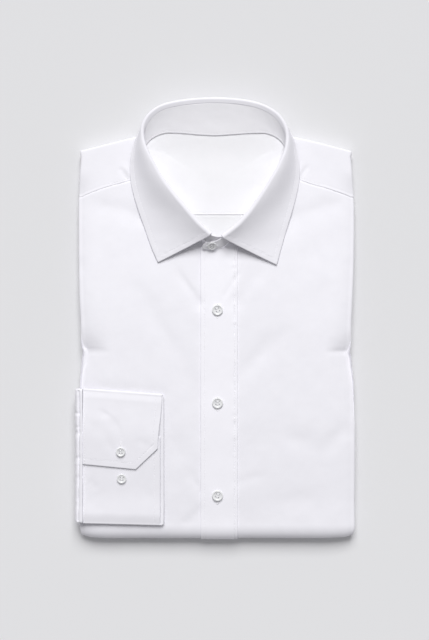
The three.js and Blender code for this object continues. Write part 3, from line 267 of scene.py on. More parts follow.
def shell_parts(outer, inner, uv=None, bulge=0.5):
    """Closed thin shell between two grids, its edge rounded like turned cloth."""
    rows, cols = outer.shape[:2]
    t = np.linalg.norm(outer - inner, axis=2, keepdims=True)
    mid = (outer + inner) / 2
    # border loop, once round
    loop = ([(0, c) for c in range(cols)] + [(r, cols - 1) for r in range(1, rows)]
            + [(rows - 1, c) for c in range(cols - 2, -1, -1)] + [(r, 0) for r in range(rows - 2, 0, -1)])
    rr, cc = np.array([a for a, _ in loop]), np.array([b for _, b in loop])
    ri = np.clip(rr, 1, rows - 2)
    ci = np.clip(cc, 1, cols - 2)
    out = unit(mid[rr, cc] - mid[ri, ci])
    rim = mid[rr, cc] + out * t[rr, cc] * bulge
    n = rows * cols
    pts = np.concatenate([outer.reshape(-1, 3), inner.reshape(-1, 3), rim])
    idx = np.arange(n).reshape(rows, cols)
    a, b, c, d = idx[:-1, :-1], idx[:-1, 1:], idx[1:, 1:], idx[1:, :-1]
    top = np.stack([a, b, c, d], -1).reshape(-1, 4)
    bottom = np.stack([a + n, d + n, c + n, b + n], -1).reshape(-1, 4)
    ring = idx[rr, cc]
    m = 2 * n + np.arange(len(loop))
    nx = np.roll(np.arange(len(loop)), -1)
    side = np.concatenate([np.stack([ring, m, m[nx], ring[nx]], -1), np.stack([m, ring + n, ring[nx] + n, m[nx]], -1)])
    quads = np.concatenate([top, bottom, side])
    # faces look outward
    v = pts[quads]
    volume = (np.einsum("ij,ij->i", v[:, 0], np.cross(v[:, 1], v[:, 2])) + np.einsum("ij,ij->i", v[:, 0], np.cross(v[:, 2], v[:, 3]))).sum()
    if volume < 0:
        quads = quads[:, ::-1]
    if uv is None:
        return pts, quads, None
    return pts, quads, np.concatenate([uv.reshape(-1, 2), uv.reshape(-1, 2), uv[rr, cc]])


def shell(name, outer, inner, uv, bulge=0.5):
    p, q, w = shell_parts(outer, inner, uv, bulge)
    return build_mesh(name, [(p, q)], [w])


def grid_uv(g):
    """u, v in mm along the two ways of a grid, from its middle line."""
    u = arc(g, 1)
    v = arc(g, 0)
    rm, cmid = g.shape[0] // 2, g.shape[1] // 2
    return np.stack([np.broadcast_to(u[rm][None, :], u.shape), np.broadcast_to(v[:, cmid][:, None], v.shape)], -1)


# ---------------------------------------------------------------- the folded pack
def top_fold(x):
    return curve(SHOULDER_EDGE[:, 0], SHOULDER_EDGE[:, 1], x) - RS


def plain_z(x, y):
    return 13.0 + 7.0 * sm(0, 190, top_fold(x) - y) - 3.0 * sm(90, 205, -np.asarray(y, float))


def square_off(a, upper, lower):
    """Sine and cosine of a fold's angle, drawn out to a squarer corner: upper for its top half."""
    s, c = np.sin(a), np.cos(a)
    p = 2.0 / np.where(c > 0, upper, lower)
    return np.abs(s) ** p * np.sign(s + 1e-12), np.sign(c) * np.abs(c) ** p


def edge(side, y):
    return np.where(np.asarray(side) < 0, -curve(OUTLINE[:, 0], OUTLINE[:, 1], y), curve(OUTLINE[:, 0], OUTLINE[:, 2], y))


def settle(x, y):
    return sm(0, 35, y - AXIS_Y) * sm(0, 45, top_fold(x) - y) * (1 - sm(0.86, 0.96, np.abs(x) / edge(x, y)))


def crown(x, y):
    return 1.0 * np.maximum(0, 1 - (x / 128.0) ** 2) * settle(x, y)


def top_z(x, y):
    return plain_z(x, y) + crown(x, y)


def crease_lift(u, v, rows=CREASES, seed=5):
    """Lift of listed creases at u across and v along the cloth."""
    z = np.zeros(np.broadcast(u, v).shape)
    u, v = np.broadcast_arrays(u, v)
    for k, (x0, y0, x1, y1, x2, y2, width, lift, lean, s0, s1) in enumerate(rows):
        t = np.linspace(0, 1, 13)[:, None]
        # the middle place lies on the curve
        cx, cy = 2 * x1 - (x0 + x2) / 2, 2 * y1 - (y0 + y2) / 2
        line = (1 - t) ** 2 * [x0, y0] + 2 * t * (1 - t) * [cx, cy] + t * t * [x2, y2]
        near = ((u > line[:, 0].min() - 4 * width) & (u < line[:, 0].max() + 4 * width)
                & (v > line[:, 1].min() - 4 * width) & (v < line[:, 1].max() + 4 * width))
        if not near.any():
            continue
        pu, pv = u[near], v[near]
        best = np.full(pu.shape, 1e9)
        along = np.zeros(pu.shape)
        sign = np.zeros(pu.shape)
        for i in range(len(line) - 1):
            ax, ay = line[i]
            dx, dy = line[i + 1] - line[i]
            s = np.clip(((pu - ax) * dx + (pv - ay) * dy) / (dx * dx + dy * dy), 0, 1)
            ex, ey = pu - ax - s * dx, pv - ay - s * dy
            d = np.hypot(ex, ey)
            m = d < best
            best[m] = d[m]
            along[m] = (i + s[m]) / (len(line) - 1)
            sign[m] = np.sign(dx * ey - dy * ex)[m]
        w = width * (1 - lean * sign) * (1 + 0.25 * noise(along * 5, 0 * along + k, 1.0, seed + 31 * k))
        strength = mix(s0, 1, sm(0, 0.4, along)) * mix(s1, 1, sm(0, 0.4, 1 - along))
        strength = strength * (1 + 0.3 * noise(along * 4, 0 * along + k, 1.0, seed + 77 * k))
        z[near] += lift * strength * np.exp(-(best / w) ** 2)
    return z


def notch_lift(side, ref, u, v):
    """The nick in each side where the hem lies behind: a long slope down to it and a short rise."""
    z = np.zeros(np.broadcast(u, v).shape)
    for n in NOTCHES:
        inward = np.abs(ref) - np.abs(u)          # distance inside the side fold's start
        reach = 1 - sm(-2, n["reach"], inward)
        y = n["y"] + n["slant"] * np.clip(inward, 0, 30)
        d = v - y
        p = np.where(d > 0, np.exp(-(np.maximum(d, 0) / n["run"]) ** 1.25), np.exp(-(np.maximum(-d - 5, 0) / 62.0) ** 1.4))
        ripple = 1 + 0.05 * noise(u, 0 * u, 4.5, 51) * sm(2, 9, d)
        z += np.where(np.sign(side) == n["side"], -n["depth"] * reach * p * ripple, 0)
    return z


def cloth_life(u, v, seed, big=0.23, small=0.034):
    return (big * noise(u, v, 34.0, seed) + 0.5 * big * noise(u, v, 15.0, seed + 1)
            + small * noise(u, v, 5.5, seed + 2) + 0.4 * small * noise(u, v, 2.6, seed + 3))


class Columns:
    """Places across the garment: flat at x, blended out to the side fold, round it, or tucked in behind."""

    def __init__(self, items):
        self.code = np.array([i[0] for i in items])
        self.side = np.array([i[1] for i in items], float)
        self.val = np.array([i[2] for i in items], float)

    def place(self, y, inset=0.0, sag=1.0):
        code, side, val = self.code[None, :], self.side[None, :], self.val[None, :]
        y = np.broadcast_to(y, (y.shape[0], len(self.code)))
        r = (plain_z(side * 128.0 + 0 * y, y) / 2 - SIDE_LAYER) / 2
        xe = side * (edge(side + 0 * y, y) - inset - r)
        x = np.where(code == 0, val, mix(side * BLEND_X, xe, val))
        sink = SIDE_SINK * sag * sm(14, 40, top_fold(np.where(code <= 1, x, xe)) - y)
        d, nx, nd, u, ref = 0 * x, 0 * x, 1 + 0 * x, x.copy(), x.copy()
        far = np.exp(-np.abs(xe - side * BLEND_X) / 7.0)
        d = np.where(code == 1, sink * (np.exp(-np.abs(xe - x) / 7.0) - far) / (1 - far) * sm(0, 0.25, val), d)
        roll = code == 2
        sn, cs = square_off(np.where(roll, val, 0.0), 2.3, 2.2)
        x = np.where(roll, xe + side * r * sn, x)
        d = np.where(roll, sink + (2 * r - sink) * (1 - cs) / 2, d)
        nx = np.where(roll, -side * np.sin(val), nx)
        nd = np.where(roll, np.cos(val), nd)
        u = np.where(roll, xe + side * r * val, u)
        tuck = code == 3
        x = np.where(tuck, xe - side * val, x)
        d = np.where(tuck, 2 * r, d)
        nd = np.where(tuck, -1, nd)
        u = np.where(tuck, xe + side * (r * np.pi + val), u)
        ref = np.where(roll | tuck, xe, ref)
        return x, d, nx, nd, ref, u, xe


BLEND_X = 108.0
SIDE_SINK = 3.0


def side_columns(side, roll=16, blend=24, tuck=(1.0, 4.5, TUCK)):
    cols = [(1, side, f) for f in np.linspace(0, 1, blend + 1)[1:]]
    cols += [(2, side, a) for a in np.linspace(0, np.pi, roll + 1)[1:]]
    return cols + [(3, side, t) for t in tuck]


def flat_columns(xs):
    return [(0, -1 if x < 0 else 1, x) for x in xs]


# neck seam
def along(at, keys=KEYS):
    """Smooth values of the collar's table at fractional row numbers."""
    at = np.asarray(at, float)
    i = np.clip(np.floor(at).astype(int), 0, LAST - 1)
    t = (at - i)[..., None]
    ext = np.vstack([2 * COLLAR[0] - COLLAR[1], COLLAR, 2 * COLLAR[-1] - COLLAR[-2]])
    a, b, c, d = ext[i], ext[i + 1], ext[i + 2], ext[i + 3]
    return 0.5 * (2 * b + (c - a) * t + (2 * a - 5 * b + 4 * c - d) * t ** 2 + (3 * b - 3 * c + d - a) * t ** 3)


NECK = along(np.linspace(0, LAST, 8 * LAST + 1))[:, 3:5]
NECK_BACK_R, NECK_BACK_L = int(np.argmin(NECK[:, 0])), int(np.argmax(NECK[:, 0]))


def neck_front(x):
    """The front half of the neck seam at x."""
    right, left = NECK[:NECK_BACK_R + 1], NECK[NECK_BACK_L:]
    r = np.interp(x, right[::-1, 0], right[::-1, 1])
    l = np.interp(x, left[::-1, 0], left[::-1, 1])
    return np.where(np.asarray(x) < 0, r, l)


def neck_back(x):
    part = NECK[NECK_BACK_R:NECK_BACK_L + 1]
    return np.interp(x, part[:, 0], part[:, 1])


def seam_y(x):
    return curve(YOKE_SEAM[:, 0], YOKE_SEAM[:, 1], x)


def front_start(x):
    y = np.where((x <= NECK_RX) | (x >= NECK_LX), seam_y(x) - 0.1, neck_front(x))
    return np.where((x > -10) & (x < 9), 71.2, y)


# ---------------------------------------------------------------- fronts
def steps(*runs):
    """Fractions from 0 to 1, denser where asked: (end, count) pairs."""
    out, at = [0.0], 0.0
    for end, count in runs:
        out += list(np.linspace(at, end, count + 1)[1:])
        at = end
    return np.array(out)


TOP_STEPS = steps((0.012, 5), (0.42, 88), (0.50, 48), (0.96, 98), (1.0, 12))
BOTTOM_STEPS = np.linspace(0, 1, 21)[1:]
TAIL_STEPS = np.linspace(0, 1, 25)[1:]
YOKE_RIDGE = dict(depth=0.35, width=0.9)


def seam_pucker(x, gap, seed, reach=5.0, size=0.1):
    """Small ripples running out from a seam."""
    return size * noise(x, 0 * x, 3.4, seed) * np.exp(-(gap / reach) ** 2)


def front_surface(cols, side):
    c = Columns(cols)
    ref150 = c.place(np.full((1, 1), 150.0))[4]
    under = ((c.code == 0) & (c.val > PLACKET_L - 0.4) & (c.val < PLACKET_R + 0.4)).astype(float)[None, :]
    # top
    y = mix(front_start(ref150), AXIS_Y, TOP_STEPS[:, None])
    x, d, nx, nd, ref, u, xe = c.place(y)
    top = np.stack([x, y, top_z(ref, y) - d], -1)
    ut, vt, et = u, y, xe
    # round the bottom fold
    ang = np.pi * BOTTOM_STEPS[:, None] + 0 * ref150
    x, d, nx, nd, ref, u, xe = c.place(np.full_like(ang, AXIS_Y), TAIL_INSET * (1 - np.cos(ang)) / 2, (1 + np.cos(ang)) / 2)
    seat = under * SEAT * sm(0, 1, ang / np.pi)
    x, d = x + nx * seat, d + nd * seat
    sn, cs = square_off(ang, 2.05, 2.3)
    bottom = np.stack([x, AXIS_Y - (R - d) * WIDE * sn, R + (R - d) * cs], -1)
    ub, vb, eb = u, AXIS_Y - R * ang, xe
    # folded-up tail
    y = mix(AXIS_Y, TAIL_END_Y, TAIL_STEPS[:, None]) + 0 * ref150
    x, d, nx, nd, ref, u, xe = c.place(y, TAIL_INSET, 0.0)
    x, d = x + nx * under * SEAT, d + nd * under * SEAT
    tail = np.stack([x, y, d], -1)
    g = np.concatenate([top, bottom, tail])
    u = np.concatenate([ut, ub, u])
    v = np.concatenate([vt, vb, AXIS_Y - R * np.pi - (y - AXIS_Y)])
    xe = np.concatenate([et, eb, xe])
    start = np.concatenate([front_start(ref150) + 0 * ut, front_start(ref150) + 0 * ub, front_start(ref150) + 0 * x])
    return g, u, v, xe, start


def front_lift(side, u, v, xe, start):
    gap = start - v                                   # distance below the yoke or neck seam
    fade = sm(AXIS_Y - 26, AXIS_Y - 6, v)             # flat under the pack
    z = crease_lift(u, v) * (1 - sm(2, 12, np.abs(u) - np.abs(xe)))
    z = z + cloth_life(u, v, 11 if side < 0 else 17)
    # soft waves that run along the side folds
    rim = np.exp(-((np.abs(u) - np.abs(xe) - 4) / 9.0) ** 2)
    z = z + rim * 0.28 * noise(u * 0.4, v, 13.0, 23 if side < 0 else 29)
    # the yoke's edge presses on the front beside its seam
    outer = (np.abs(u) > 60) * (gap < 20)
    z = z - outer * YOKE_RIDGE["depth"] * np.exp(-(gap / YOKE_RIDGE["width"]) ** 2)
    z = z + outer * seam_pucker(u, gap, 41 if side < 0 else 43)
    return z * fade


def cuff_press(u, v):
    """The front is pressed down a little along the cuff's upper fold, and stays down below it."""
    edge_y = mix(CUFF["topLeftY"], CUFF["topRightY"], np.clip((u - CUFF["seamX"]) / 80.0, 0, 1))
    side = sm(CUFF["backHem"] + 9, CUFF["backHem"] - 2, u)
    return -0.75 * side * np.where(v > edge_y, np.exp(-((v - edge_y) / 8.0) ** 2), 1.0)


SHEET_T = 0.62
right_cols = (side_columns(-1)[::-1]
              + flat_columns(list(np.linspace(-BLEND_X, -16.4, 67)) + [-15.9, -15.5, -15.15, -14.85, -14.5, -13.5, -10, -5, 1, 8, 15, UNDERLAP_X]))
left_cols = (flat_columns([UNDERLAP_X + 0.3, 21.9, 22.25, 22.55, 22.85, 23.2, 23.7, 24.4] + list(np.linspace(25.4, BLEND_X, 61)))
             + side_columns(1))


def make_front(name, cols, side):
    g, u, v, xe, start = front_surface(cols, side)
    n = normals(g)
    if n[20, n.shape[1] // 2, 2] < 0:
        n = -n
    z = front_lift(side, u, v, xe, start)
    g = g + n * z[..., None]
    on_top = np.sqrt(np.maximum(n[..., 2], 0)) * sm(AXIS_Y - 4, AXIS_Y + 20, v)
    g[..., 2] += (notch_lift(side, xe, u, v) + cuff_press(u, v)) * on_top
    n = normals(g) * np.sign((normals(g) * n).sum(-1, keepdims=True))
    uv = np.stack([u, v], -1)
    return g, n, uv


fr_g, fr_n, fr_uv = make_front("front_right", right_cols, -1)
fl_g, fl_n, fl_uv = make_front("front_left", left_cols, 1)
front_right = shell("right_front_cloth", fr_g, fr_g - fr_n * SHEET_T, fr_uv)
front_left = shell("left_front_cloth", fl_g, fl_g - fl_n * SHEET_T, fl_uv)


# ---------------------------------------------------------------- placket
def placket_shape(x, v):
    """Height over the front: turned edges, a stitched groove inside each, puckers along the seam."""
    left, right = x - PLACKET_L, PLACKET_R - x
    up = 0.36 + 0.86 * np.sqrt(np.clip(1 - (1 - np.clip(left / 1.1, 0, 1)) ** 2, 0, 1)) * np.sqrt(np.clip(1 - (1 - np.clip(right / 1.5, 0, 1)) ** 2, 0, 1))
    wob = 0.25 * noise(v, 0 * v, 30.0, 61)
    up = up - 0.26 * np.exp(-((left - 4.1 - wob) / 0.55) ** 2)
    groove = 0.50 * (1 + 0.55 * noise(v, 0 * v, 7.0, 62))
    up = up - groove * np.exp(-((right - 3.0 - 0.6 * wob) / 0.6) ** 2)
    up = up + 0.26 * (0.7 + 0.9 * np.exp(-((v - 40) / 24) ** 2) + 1.0 * np.exp(-((v + 182) / 26) ** 2)) * noise(v, 0 * v, 3.6, 63) * np.exp(-((right - 3.0) / 2.2) ** 2) * (0.6 + 0.6 * noise(v, 0 * v, 40.0, 64))
    up = up + 0.05 * noise(v, 0 * v, 3.0, 65) * np.exp(-((left - 4.1) / 2.2) ** 2)
    return up


pk_x = np.array([PLACKET_L, -14.5, -14.3, -14.0, -13.5, -12.8, -12.1, -11.6, -11.2, -10.85, -10.5, -10.15, -9.8, -9.4, -8.9, -8.2]
                + list(np.linspace(-7.2, 16.2, 22)) + [17.2, 18.0, 18.5, 18.9, 19.2, 19.5, 19.8, 20.1, 20.5, 21.0, 21.5, 21.9, 22.2, 22.45, PLACKET_R])
pk_top = steps((0.012, 4), (0.975, 262), (1.0, 9))


def placket_surface(extra):
    x = pk_x[None, :]
    start = np.where(x < 9.5, 70.9, neck_front(x))
    start = mix(start, 70.9, sm(14, 8, x))
    y = mix(start, AXIS_Y, pk_top[:, None])
    up = placket_shape(x + 0 * y, y)
    # nearly the fronts' own lift, carried on over the placket
    lie = 0.75 * crease_lift(x + 0 * y, y) + cloth_life(x + 0 * y, y, 71, 0.13, 0.02)
    top = np.stack([x + 0 * y, y, top_z(x, y) + lie + up - extra], -1)
    ang = np.pi * BOTTOM_STEPS[:, None] + 0 * x
    up = placket_shape(x + 0 * ang, AXIS_Y - R * ang) + (cloth_life(x + 0 * ang, AXIS_Y - R * ang, 71, 0.13, 0.02)
                                                        + 0.75 * crease_lift(x + 0 * ang, AXIS_Y - R * ang)) * sm(np.pi, 0.6, ang) - extra
    d = SEAT * sm(0, 1, ang / np.pi) - up
    sn, cs = square_off(ang, 2.05, 2.3)
    bottom = np.stack([x + 0 * ang, AXIS_Y - (R - d) * WIDE * sn, R + (R - d) * cs], -1)
    y2 = mix(AXIS_Y, TAIL_END_Y, TAIL_STEPS[:, None]) + 0 * x
    up = np.minimum(placket_shape(x + 0 * y2, AXIS_Y - R * np.pi - (y2 - AXIS_Y)), SEAT) - extra
    tail = np.stack([x + 0 * y2, y2, SEAT - up], -1)
    v = np.concatenate([y, AXIS_Y - R * ang, AXIS_Y - R * np.pi - (y2 - AXIS_Y)])
    return np.concatenate([top, bottom, tail]), v


pk_g, pk_v = placket_surface(0.0)
pk_in, _ = placket_surface(0.8)
pk_uv = np.stack([pk_x[None, :] + 0 * pk_v, pk_v], -1)
placket = shell("placket_cloth", pk_g, pk_in, pk_uv)
pk_n = normals(pk_g)
if pk_n[20, 20, 2] < 0:
    pk_n = -pk_n

# ---------------------------------------------------------------- yoke
yk_cols = (side_columns(-1, 12, 12, (1.0, 5.0))[::-1]
           + flat_columns(list(np.linspace(-BLEND_X, NECK_RX, 28)) + [-69.0, -68.6] + list(np.linspace(-67.6, 67.6, 72))
                          + [68.5, 68.9] + list(np.linspace(NECK_LX, BLEND_X, 28))) + side_columns(1, 12, 12, (1.0, 5.0)))


def yoke_surface():
    c = Columns(yk_cols)
    ref = c.place(np.full((1, 1), 150.0))[4]
    fold = top_fold(ref)
    neck = (ref > NECK_RX) & (ref < NECK_LX)
    start = np.where(neck, neck_back(ref), seam_y(ref) + 0.1)
    past = start > fold
    a0 = np.where(past, np.arcsin(np.clip((start - fold) / RS, 0, 0.9) ** 3.0), 0)
    f = steps((0.03, 3), (1.0, 30))[:, None]
    y = mix(start, fold, f)
    x, d, nx, nd, rf, u, xe = c.place(np.where(past, 150.0, y))
    flat = np.stack([x, y, top_z(rf, y) - d], -1)
    ang = a0 * (0.9 + 0.1 * f)
    x2, d2, *_rest = c.place(np.full_like(ang, 150.0))
    sn, cs = square_off(ang, 9.0, 2.1)
    bent = np.stack([x2, fold + (RS - d2) * sn, RS + (RS - d2) * cs], -1)
    g0 = np.where(past[..., None], bent, flat)
    u0, e0 = u, xe
    v0 = np.where(past, fold + RS * ang, y)
    ang = mix(a0, np.pi, np.linspace(0, 1, 23)[1:, None])
    x, d, nx, nd, rf, u, xe = c.place(np.full_like(ang, 150.0))
    sn, cs = square_off(ang, 9.0, 2.1)
    g1 = np.stack([x, fold + (RS - d) * sn, RS + (RS - d) * cs], -1)
    y = mix(fold, YOKE_END_Y, np.linspace(0, 1, 9)[1:, None])
    x, d, nx, nd, rf, u3, xe3 = c.place(np.minimum(y, 150.0), 0.0, 0.0)
    g2 = np.stack([x, y, d], -1)
    g = np.concatenate([g0, g1, g2])
    uu = np.concatenate([u0, u, u3])
    vv = np.concatenate([v0, fold + RS * ang, fold + RS * np.pi + (fold - y)])
    ee = np.concatenate([e0, xe, xe3])
    gap = np.concatenate([v0 - start, np.full_like(u, 50.0), np.full_like(u3, 90.0)])
    return g, uu, vv, ee, gap, neck


yk_g, yk_u, yk_v, yk_e, yk_gap, yk_neck = yoke_surface()
yk_n = normals(yk_g)
if yk_n[5, 30, 2] < 0:
    yk_n = -yk_n
yk_under = sm(top_fold(0) + 18, top_fold(0) + 8, yk_v)
yk_z = crease_lift(yk_u, yk_v) + cloth_life(yk_u, yk_v, 83, 0.14, 0.025)
yk_z = yk_z + (~yk_neck[0])[None, :] * (0.22 * np.exp(-((yk_gap - 1.0) / 1.3) ** 2) - 0.2 * np.exp(-((yk_gap - 2.6) / 0.5) ** 2)
                                        + seam_pucker(yk_u, yk_gap, 87, 4.0, 0.07))
yk_g = yk_g + yk_n * (yk_z * yk_under)[..., None]
yk_uv = np.stack([yk_u, yk_v], -1)
yoke = shell("yoke_cloth", yk_g, yk_g - yk_n * SHEET_T, yk_uv)


# ---------------------------------------------------------------- inside of the neck
def lining_top(x, y):
    return plain_z(x, y) + crown(x, y) - 1.15 + 0.35 * sm(135, 183, y) * (1 - sm(50, 66, np.abs(x)))


NECK_Z = along(np.linspace(0, LAST, 8 * LAST + 1))[:, 5]


def meet_neck(x, y, z):
    """Raise cloth at x, y to the neck seam along the back of the neck."""
    pick = NECK[:, 1] > 128
    line, line_z = NECK[pick], NECK_Z[pick]
    t = unit(np.gradient(line, axis=0))
    x, y, z = np.broadcast_arrays(x, y, z)
    d2 = (x[..., None] - line[:, 0]) ** 2 + (y[..., None] - line[:, 1]) ** 2
    k = d2.argmin(axis=-1)
    d = np.sqrt(d2.min(axis=-1))
    inside = ((x - line[k, 0]) * -t[k, 1] + (y - line[k, 1]) * t[k, 0]) < 0
    w = np.where(inside, np.exp(-(d / 17.0) ** 1.6), np.exp(-(d / 0.9) ** 2)) * (0.7 + 0.3 * sm(158, 176, y)) * sm(120, 150, y)
    return z + w * np.maximum(line_z[k] - 0.55 - z, 0)


def inner_sheet(name, y0, y1, drop, seed, seam_side, n_rows):
    x = np.concatenate([np.linspace(-88, -74, 8), np.linspace(-72, -56, 33), np.linspace(-54.5, 54.5, 84), np.linspace(56, 72, 33),
                        np.linspace(74, 88, 8)])[None, :]
    f = steps((0.12, 20), (0.94, n_rows), (1.0, 8))[:, None]
    y = mix(y0(x), y1(x), f)
    z = lining_top(x, y) - drop + cloth_life(x + 0 * y, y, seed, 0.15, 0.02)
    z = z + crease_lift(x + 0 * y, y, LINING_CREASES, 9)
    if seam_side == "low":      # turned seam edge of the inner yoke with its edge stitch
        z = meet_neck(x, y, z)
        gap = y - y1(x)
        z = z + 0.06 * np.exp(-((gap - 0.9) / 1.0) ** 2) - 0.16 * np.exp(-((gap - 2.1) / 0.5) ** 2) + seam_pucker(x + 0 * y, gap, 91, 3.0, 0.04)
        top = y0(x) - y
        z = z + 0.10 * noise(x + 0 * y, y, 4.5, 93) * np.exp(-(top / 6.0) ** 2)
    else:
        gap = y0(x) - y
        z = z - 0.08 * np.exp(-(gap / 1.0) ** 2) + 0.08 * np.exp(-((gap - 2.2) / 0.9) ** 2)
    g = np.stack([x + 0 * y, y, z], -1)
    n = normals(g)
    if n[5, 5, 2] < 0:
        n = -n
    return g, n, shell(name, g, g - n * SHEET_T, np.stack([x + 0 * y, y], -1))


LINING_CREASES = np.array([
    [-34, 172, -22, 150, -26, 128, 14.0, -0.35, 0.0, 0.0, 0.0],
    [30, 176, 24, 152, 34, 132, 14.0, -0.3, 0.0, 0.0, 0.0],
    [-6, 182, 0, 150, 2, 120, 18.0, 0.3, 0.0, 0.2, 0.2],
    [-45, 150, -38, 136, -28, 120, 6.0, -0.25, 0.0, 0.0, 0.0],
    [46, 152, 42, 138, 30, 118, 7.0, -0.25, 0.0, 0.0, 0.0],
])
ln_g, ln_n, yoke_lining = inner_sheet("inner_yoke_cloth", lambda x: np.where(np.abs(x) < 70.3, np.minimum(neck_back(x) + 0.1, 186.3), 170.0),
                                      lambda x: 104.3 + 0 * x, 0.0, 95, "low", 50)
bp_g, bp_n, back_panel = inner_sheet("back_panel_cloth", lambda x: 103.85 + 0 * x, lambda x: 56.0 + 0 * x, 0.24, 97, "high", 26)


# ---------------------------------------------------------------- collar
def collar_sections(at):
    c = along(at)
    F, S, E = c[:, 0:3], c[:, 3:6], c[:, 6:9]
    rl, hang = c[:, 9], np.clip(c[:, 10], 0, 1)
    a, b = along(np.maximum(0, at - 0.25))[:, :2], along(np.minimum(LAST, at + 0.25))[:, :2]
    t = unit(b - a)
    n = np.stack([-t[:, 1], t[:, 0], 0 * t[:, 0]], -1)
    lean = np.arctan2(F[:, 2] - S[:, 2], ((F - S) * n).sum(-1))
    return F, S, E, rl, hang, n, lean


UP = np.array([0.0, 0.0, 1.0])


def arc_point(F, n, rl, b):
    return F + UP * (rl * (np.cos(b) - 1))[..., None] + n * (rl * np.sin(b))[..., None]


def leaf_grid(at, n_rise=5, n_arc=12, bez=None):
    F, S, E, rl, hang, n, lean = collar_sections(at)
    A = arc_point(F, n, rl, -lean)
    T = A - n * (np.cos(lean) * LEAF_RISE)[:, None] - UP * (np.sin(lean) * LEAF_RISE)[:, None]
    rows = [mix(T, A, f) for f in np.linspace(0.02, 1, n_rise + 1)[:-1]]
    run = np.maximum(np.hypot(*(E - F)[:, :2].T), 4.0)
    front = sm(5.2, 0.0, np.minimum(at, LAST - at))                    # 1 at the two front ends
    lead = mix(0.33, 3.0, front)                                       # first slope over the mean one
    end = mix(np.arctan(np.minimum(lead * (F[:, 2] - E[:, 2]) / run, 1.4)), np.pi / 2, hang)
    rows += [arc_point(F, n, rl, mix(-lean, end, f)) for f in np.linspace(0, 1, n_arc + 1)]
    P0, P3 = rows[-1], E
    H = (P3 - P0) * [1, 1, 0]
    drop = (P0 - P3)[:, 2:3]
    h = hang[:, None]
    f = front[:, None]
    P1 = P0 + H * mix(0.36, 0.17, f) * (1 - h) + n * 1.0 * h - UP * drop * mix(mix(0.13, 0.44, f), 0.35, h)
    P2 = P3 - H * mix(0.42, 0.58, f) * (1 - h) + n * 4.0 * h + UP * drop * mix(mix(0.12, 0.19, f), 0.3, h)
    for t in bez:
        rows.append((1 - t) ** 3 * P0 + 3 * t * (1 - t) ** 2 * P1 + 3 * t * t * (1 - t) * P2 + t ** 3 * P3)
    return np.stack(rows)              # rows from the seam to the outer edge, a column for each section


at_fine = np.concatenate([np.linspace(0, 0.5, 22)[:-1], np.linspace(0.5, LAST - 0.5, 16 * (LAST - 1) + 1), np.linspace(LAST - 0.5, LAST, 22)[1:]])
bez = np.concatenate([np.linspace(0, 0.80, 44)[1:], np.linspace(0.80, 1.0, 24)[1:]])
lf_g = leaf_grid(at_fine, bez=bez)
lf_along = arc(lf_g, 0)
lf_edge = lf_along[-1:, :] - lf_along                       # distance in from the outer edge
lf_cross = arc(lf_g, 1)
lf_front = np.minimum(lf_cross, lf_cross[:, -1:] - lf_cross)  # distance in from the two front edges
lf_n = normals(lf_g)
mid_col = lf_g.shape[1] // 2
if lf_n[8, mid_col, 2] < 0:
    lf_n = -lf_n
on_fall = sm(6.0, 9.0, lf_along)                            # 1 on the outer fall
side_of_edge = np.minimum(lf_edge, np.where(lf_along > 5, lf_front, 99.0))
lf_z = -0.12 * on_fall * np.exp(-((side_of_edge - 4.8) / 0.6) ** 2)
lf_z = lf_z + 0.05 * on_fall * np.exp(-((side_of_edge - 2.2) / 1.8) ** 2)
lf_s = lf_cross[-1:, :] + 0 * lf_cross
lf_z = lf_z + on_fall * 0.13 * noise(lf_cross, lf_along, 3.6, 101) * np.exp(-((lf_front - 4.0) / 3.0) ** 2)
lf_z = lf_z + on_fall * 0.06 * noise(lf_s, lf_edge * 0.3, 3.4, 103) * np.exp(-((lf_edge - 4.0) / 3.2) ** 2)
lf_z = lf_z + on_fall * 0.20 * noise(lf_cross, lf_along, 22.0, 105) + on_fall * 0.05 * noise(lf_cross, lf_along, 8.0, 106)
lf_z = lf_z + (1 - on_fall) * 0.06 * noise(lf_cross, lf_along * 2, 9.0, 107)
lf_g = lf_g + lf_n * lf_z[..., None]
lf_n = normals(lf_g) * np.sign((normals(lf_g) * lf_n).sum(-1, keepdims=True))
lf_uv = np.stack([lf_cross[len(lf_cross) // 2][None, :] + 0 * lf_cross, lf_along], -1)
collar_leaf = shell("collar_leaf_cloth", lf_g + lf_n * 0.5, lf_g - lf_n * 0.5, lf_uv, 0.42)

# stand, with its underlapping end and its buttoned tab
F, S, E, rl, hang, n, lean = collar_sections(np.linspace(0, LAST, 12 * LAST + 1))
A = arc_point(F, n, rl, -lean)
T = A - n * (np.cos(lean) * LEAF_RISE)[:, None] - UP * (np.sin(lean) * LEAF_RISE)[:, None]
T = mix(T, S, 0.01)
sag = (n * np.sin(lean)[:, None] - UP * np.cos(lean)[:, None]) * (STAND_BOW * hang)[:, None]
zero2, zero4 = np.zeros((2, 3)), np.zeros((4, 3))
st_S = np.vstack([UNDERLAP_END[::-1, :3], S, TAB_END[:, :3]])
st_T = np.vstack([UNDERLAP_END[::-1, 3:], T, TAB_END[:, 3:]])
st_sag = np.vstack([zero2, sag, zero4])
mid = (st_S + st_T) / 2
chord = np.concatenate([[0], np.cumsum(np.linalg.norm(np.diff(mid, axis=0), axis=1))])
st_at = np.concatenate([np.linspace(0, chord[-1] - 14, 430), np.linspace(chord[-1] - 14, chord[-1], 34)[1:]])


def resample(a):
    return np.stack([curve(chord, a[:, k], st_at) for k in range(3)], -1)


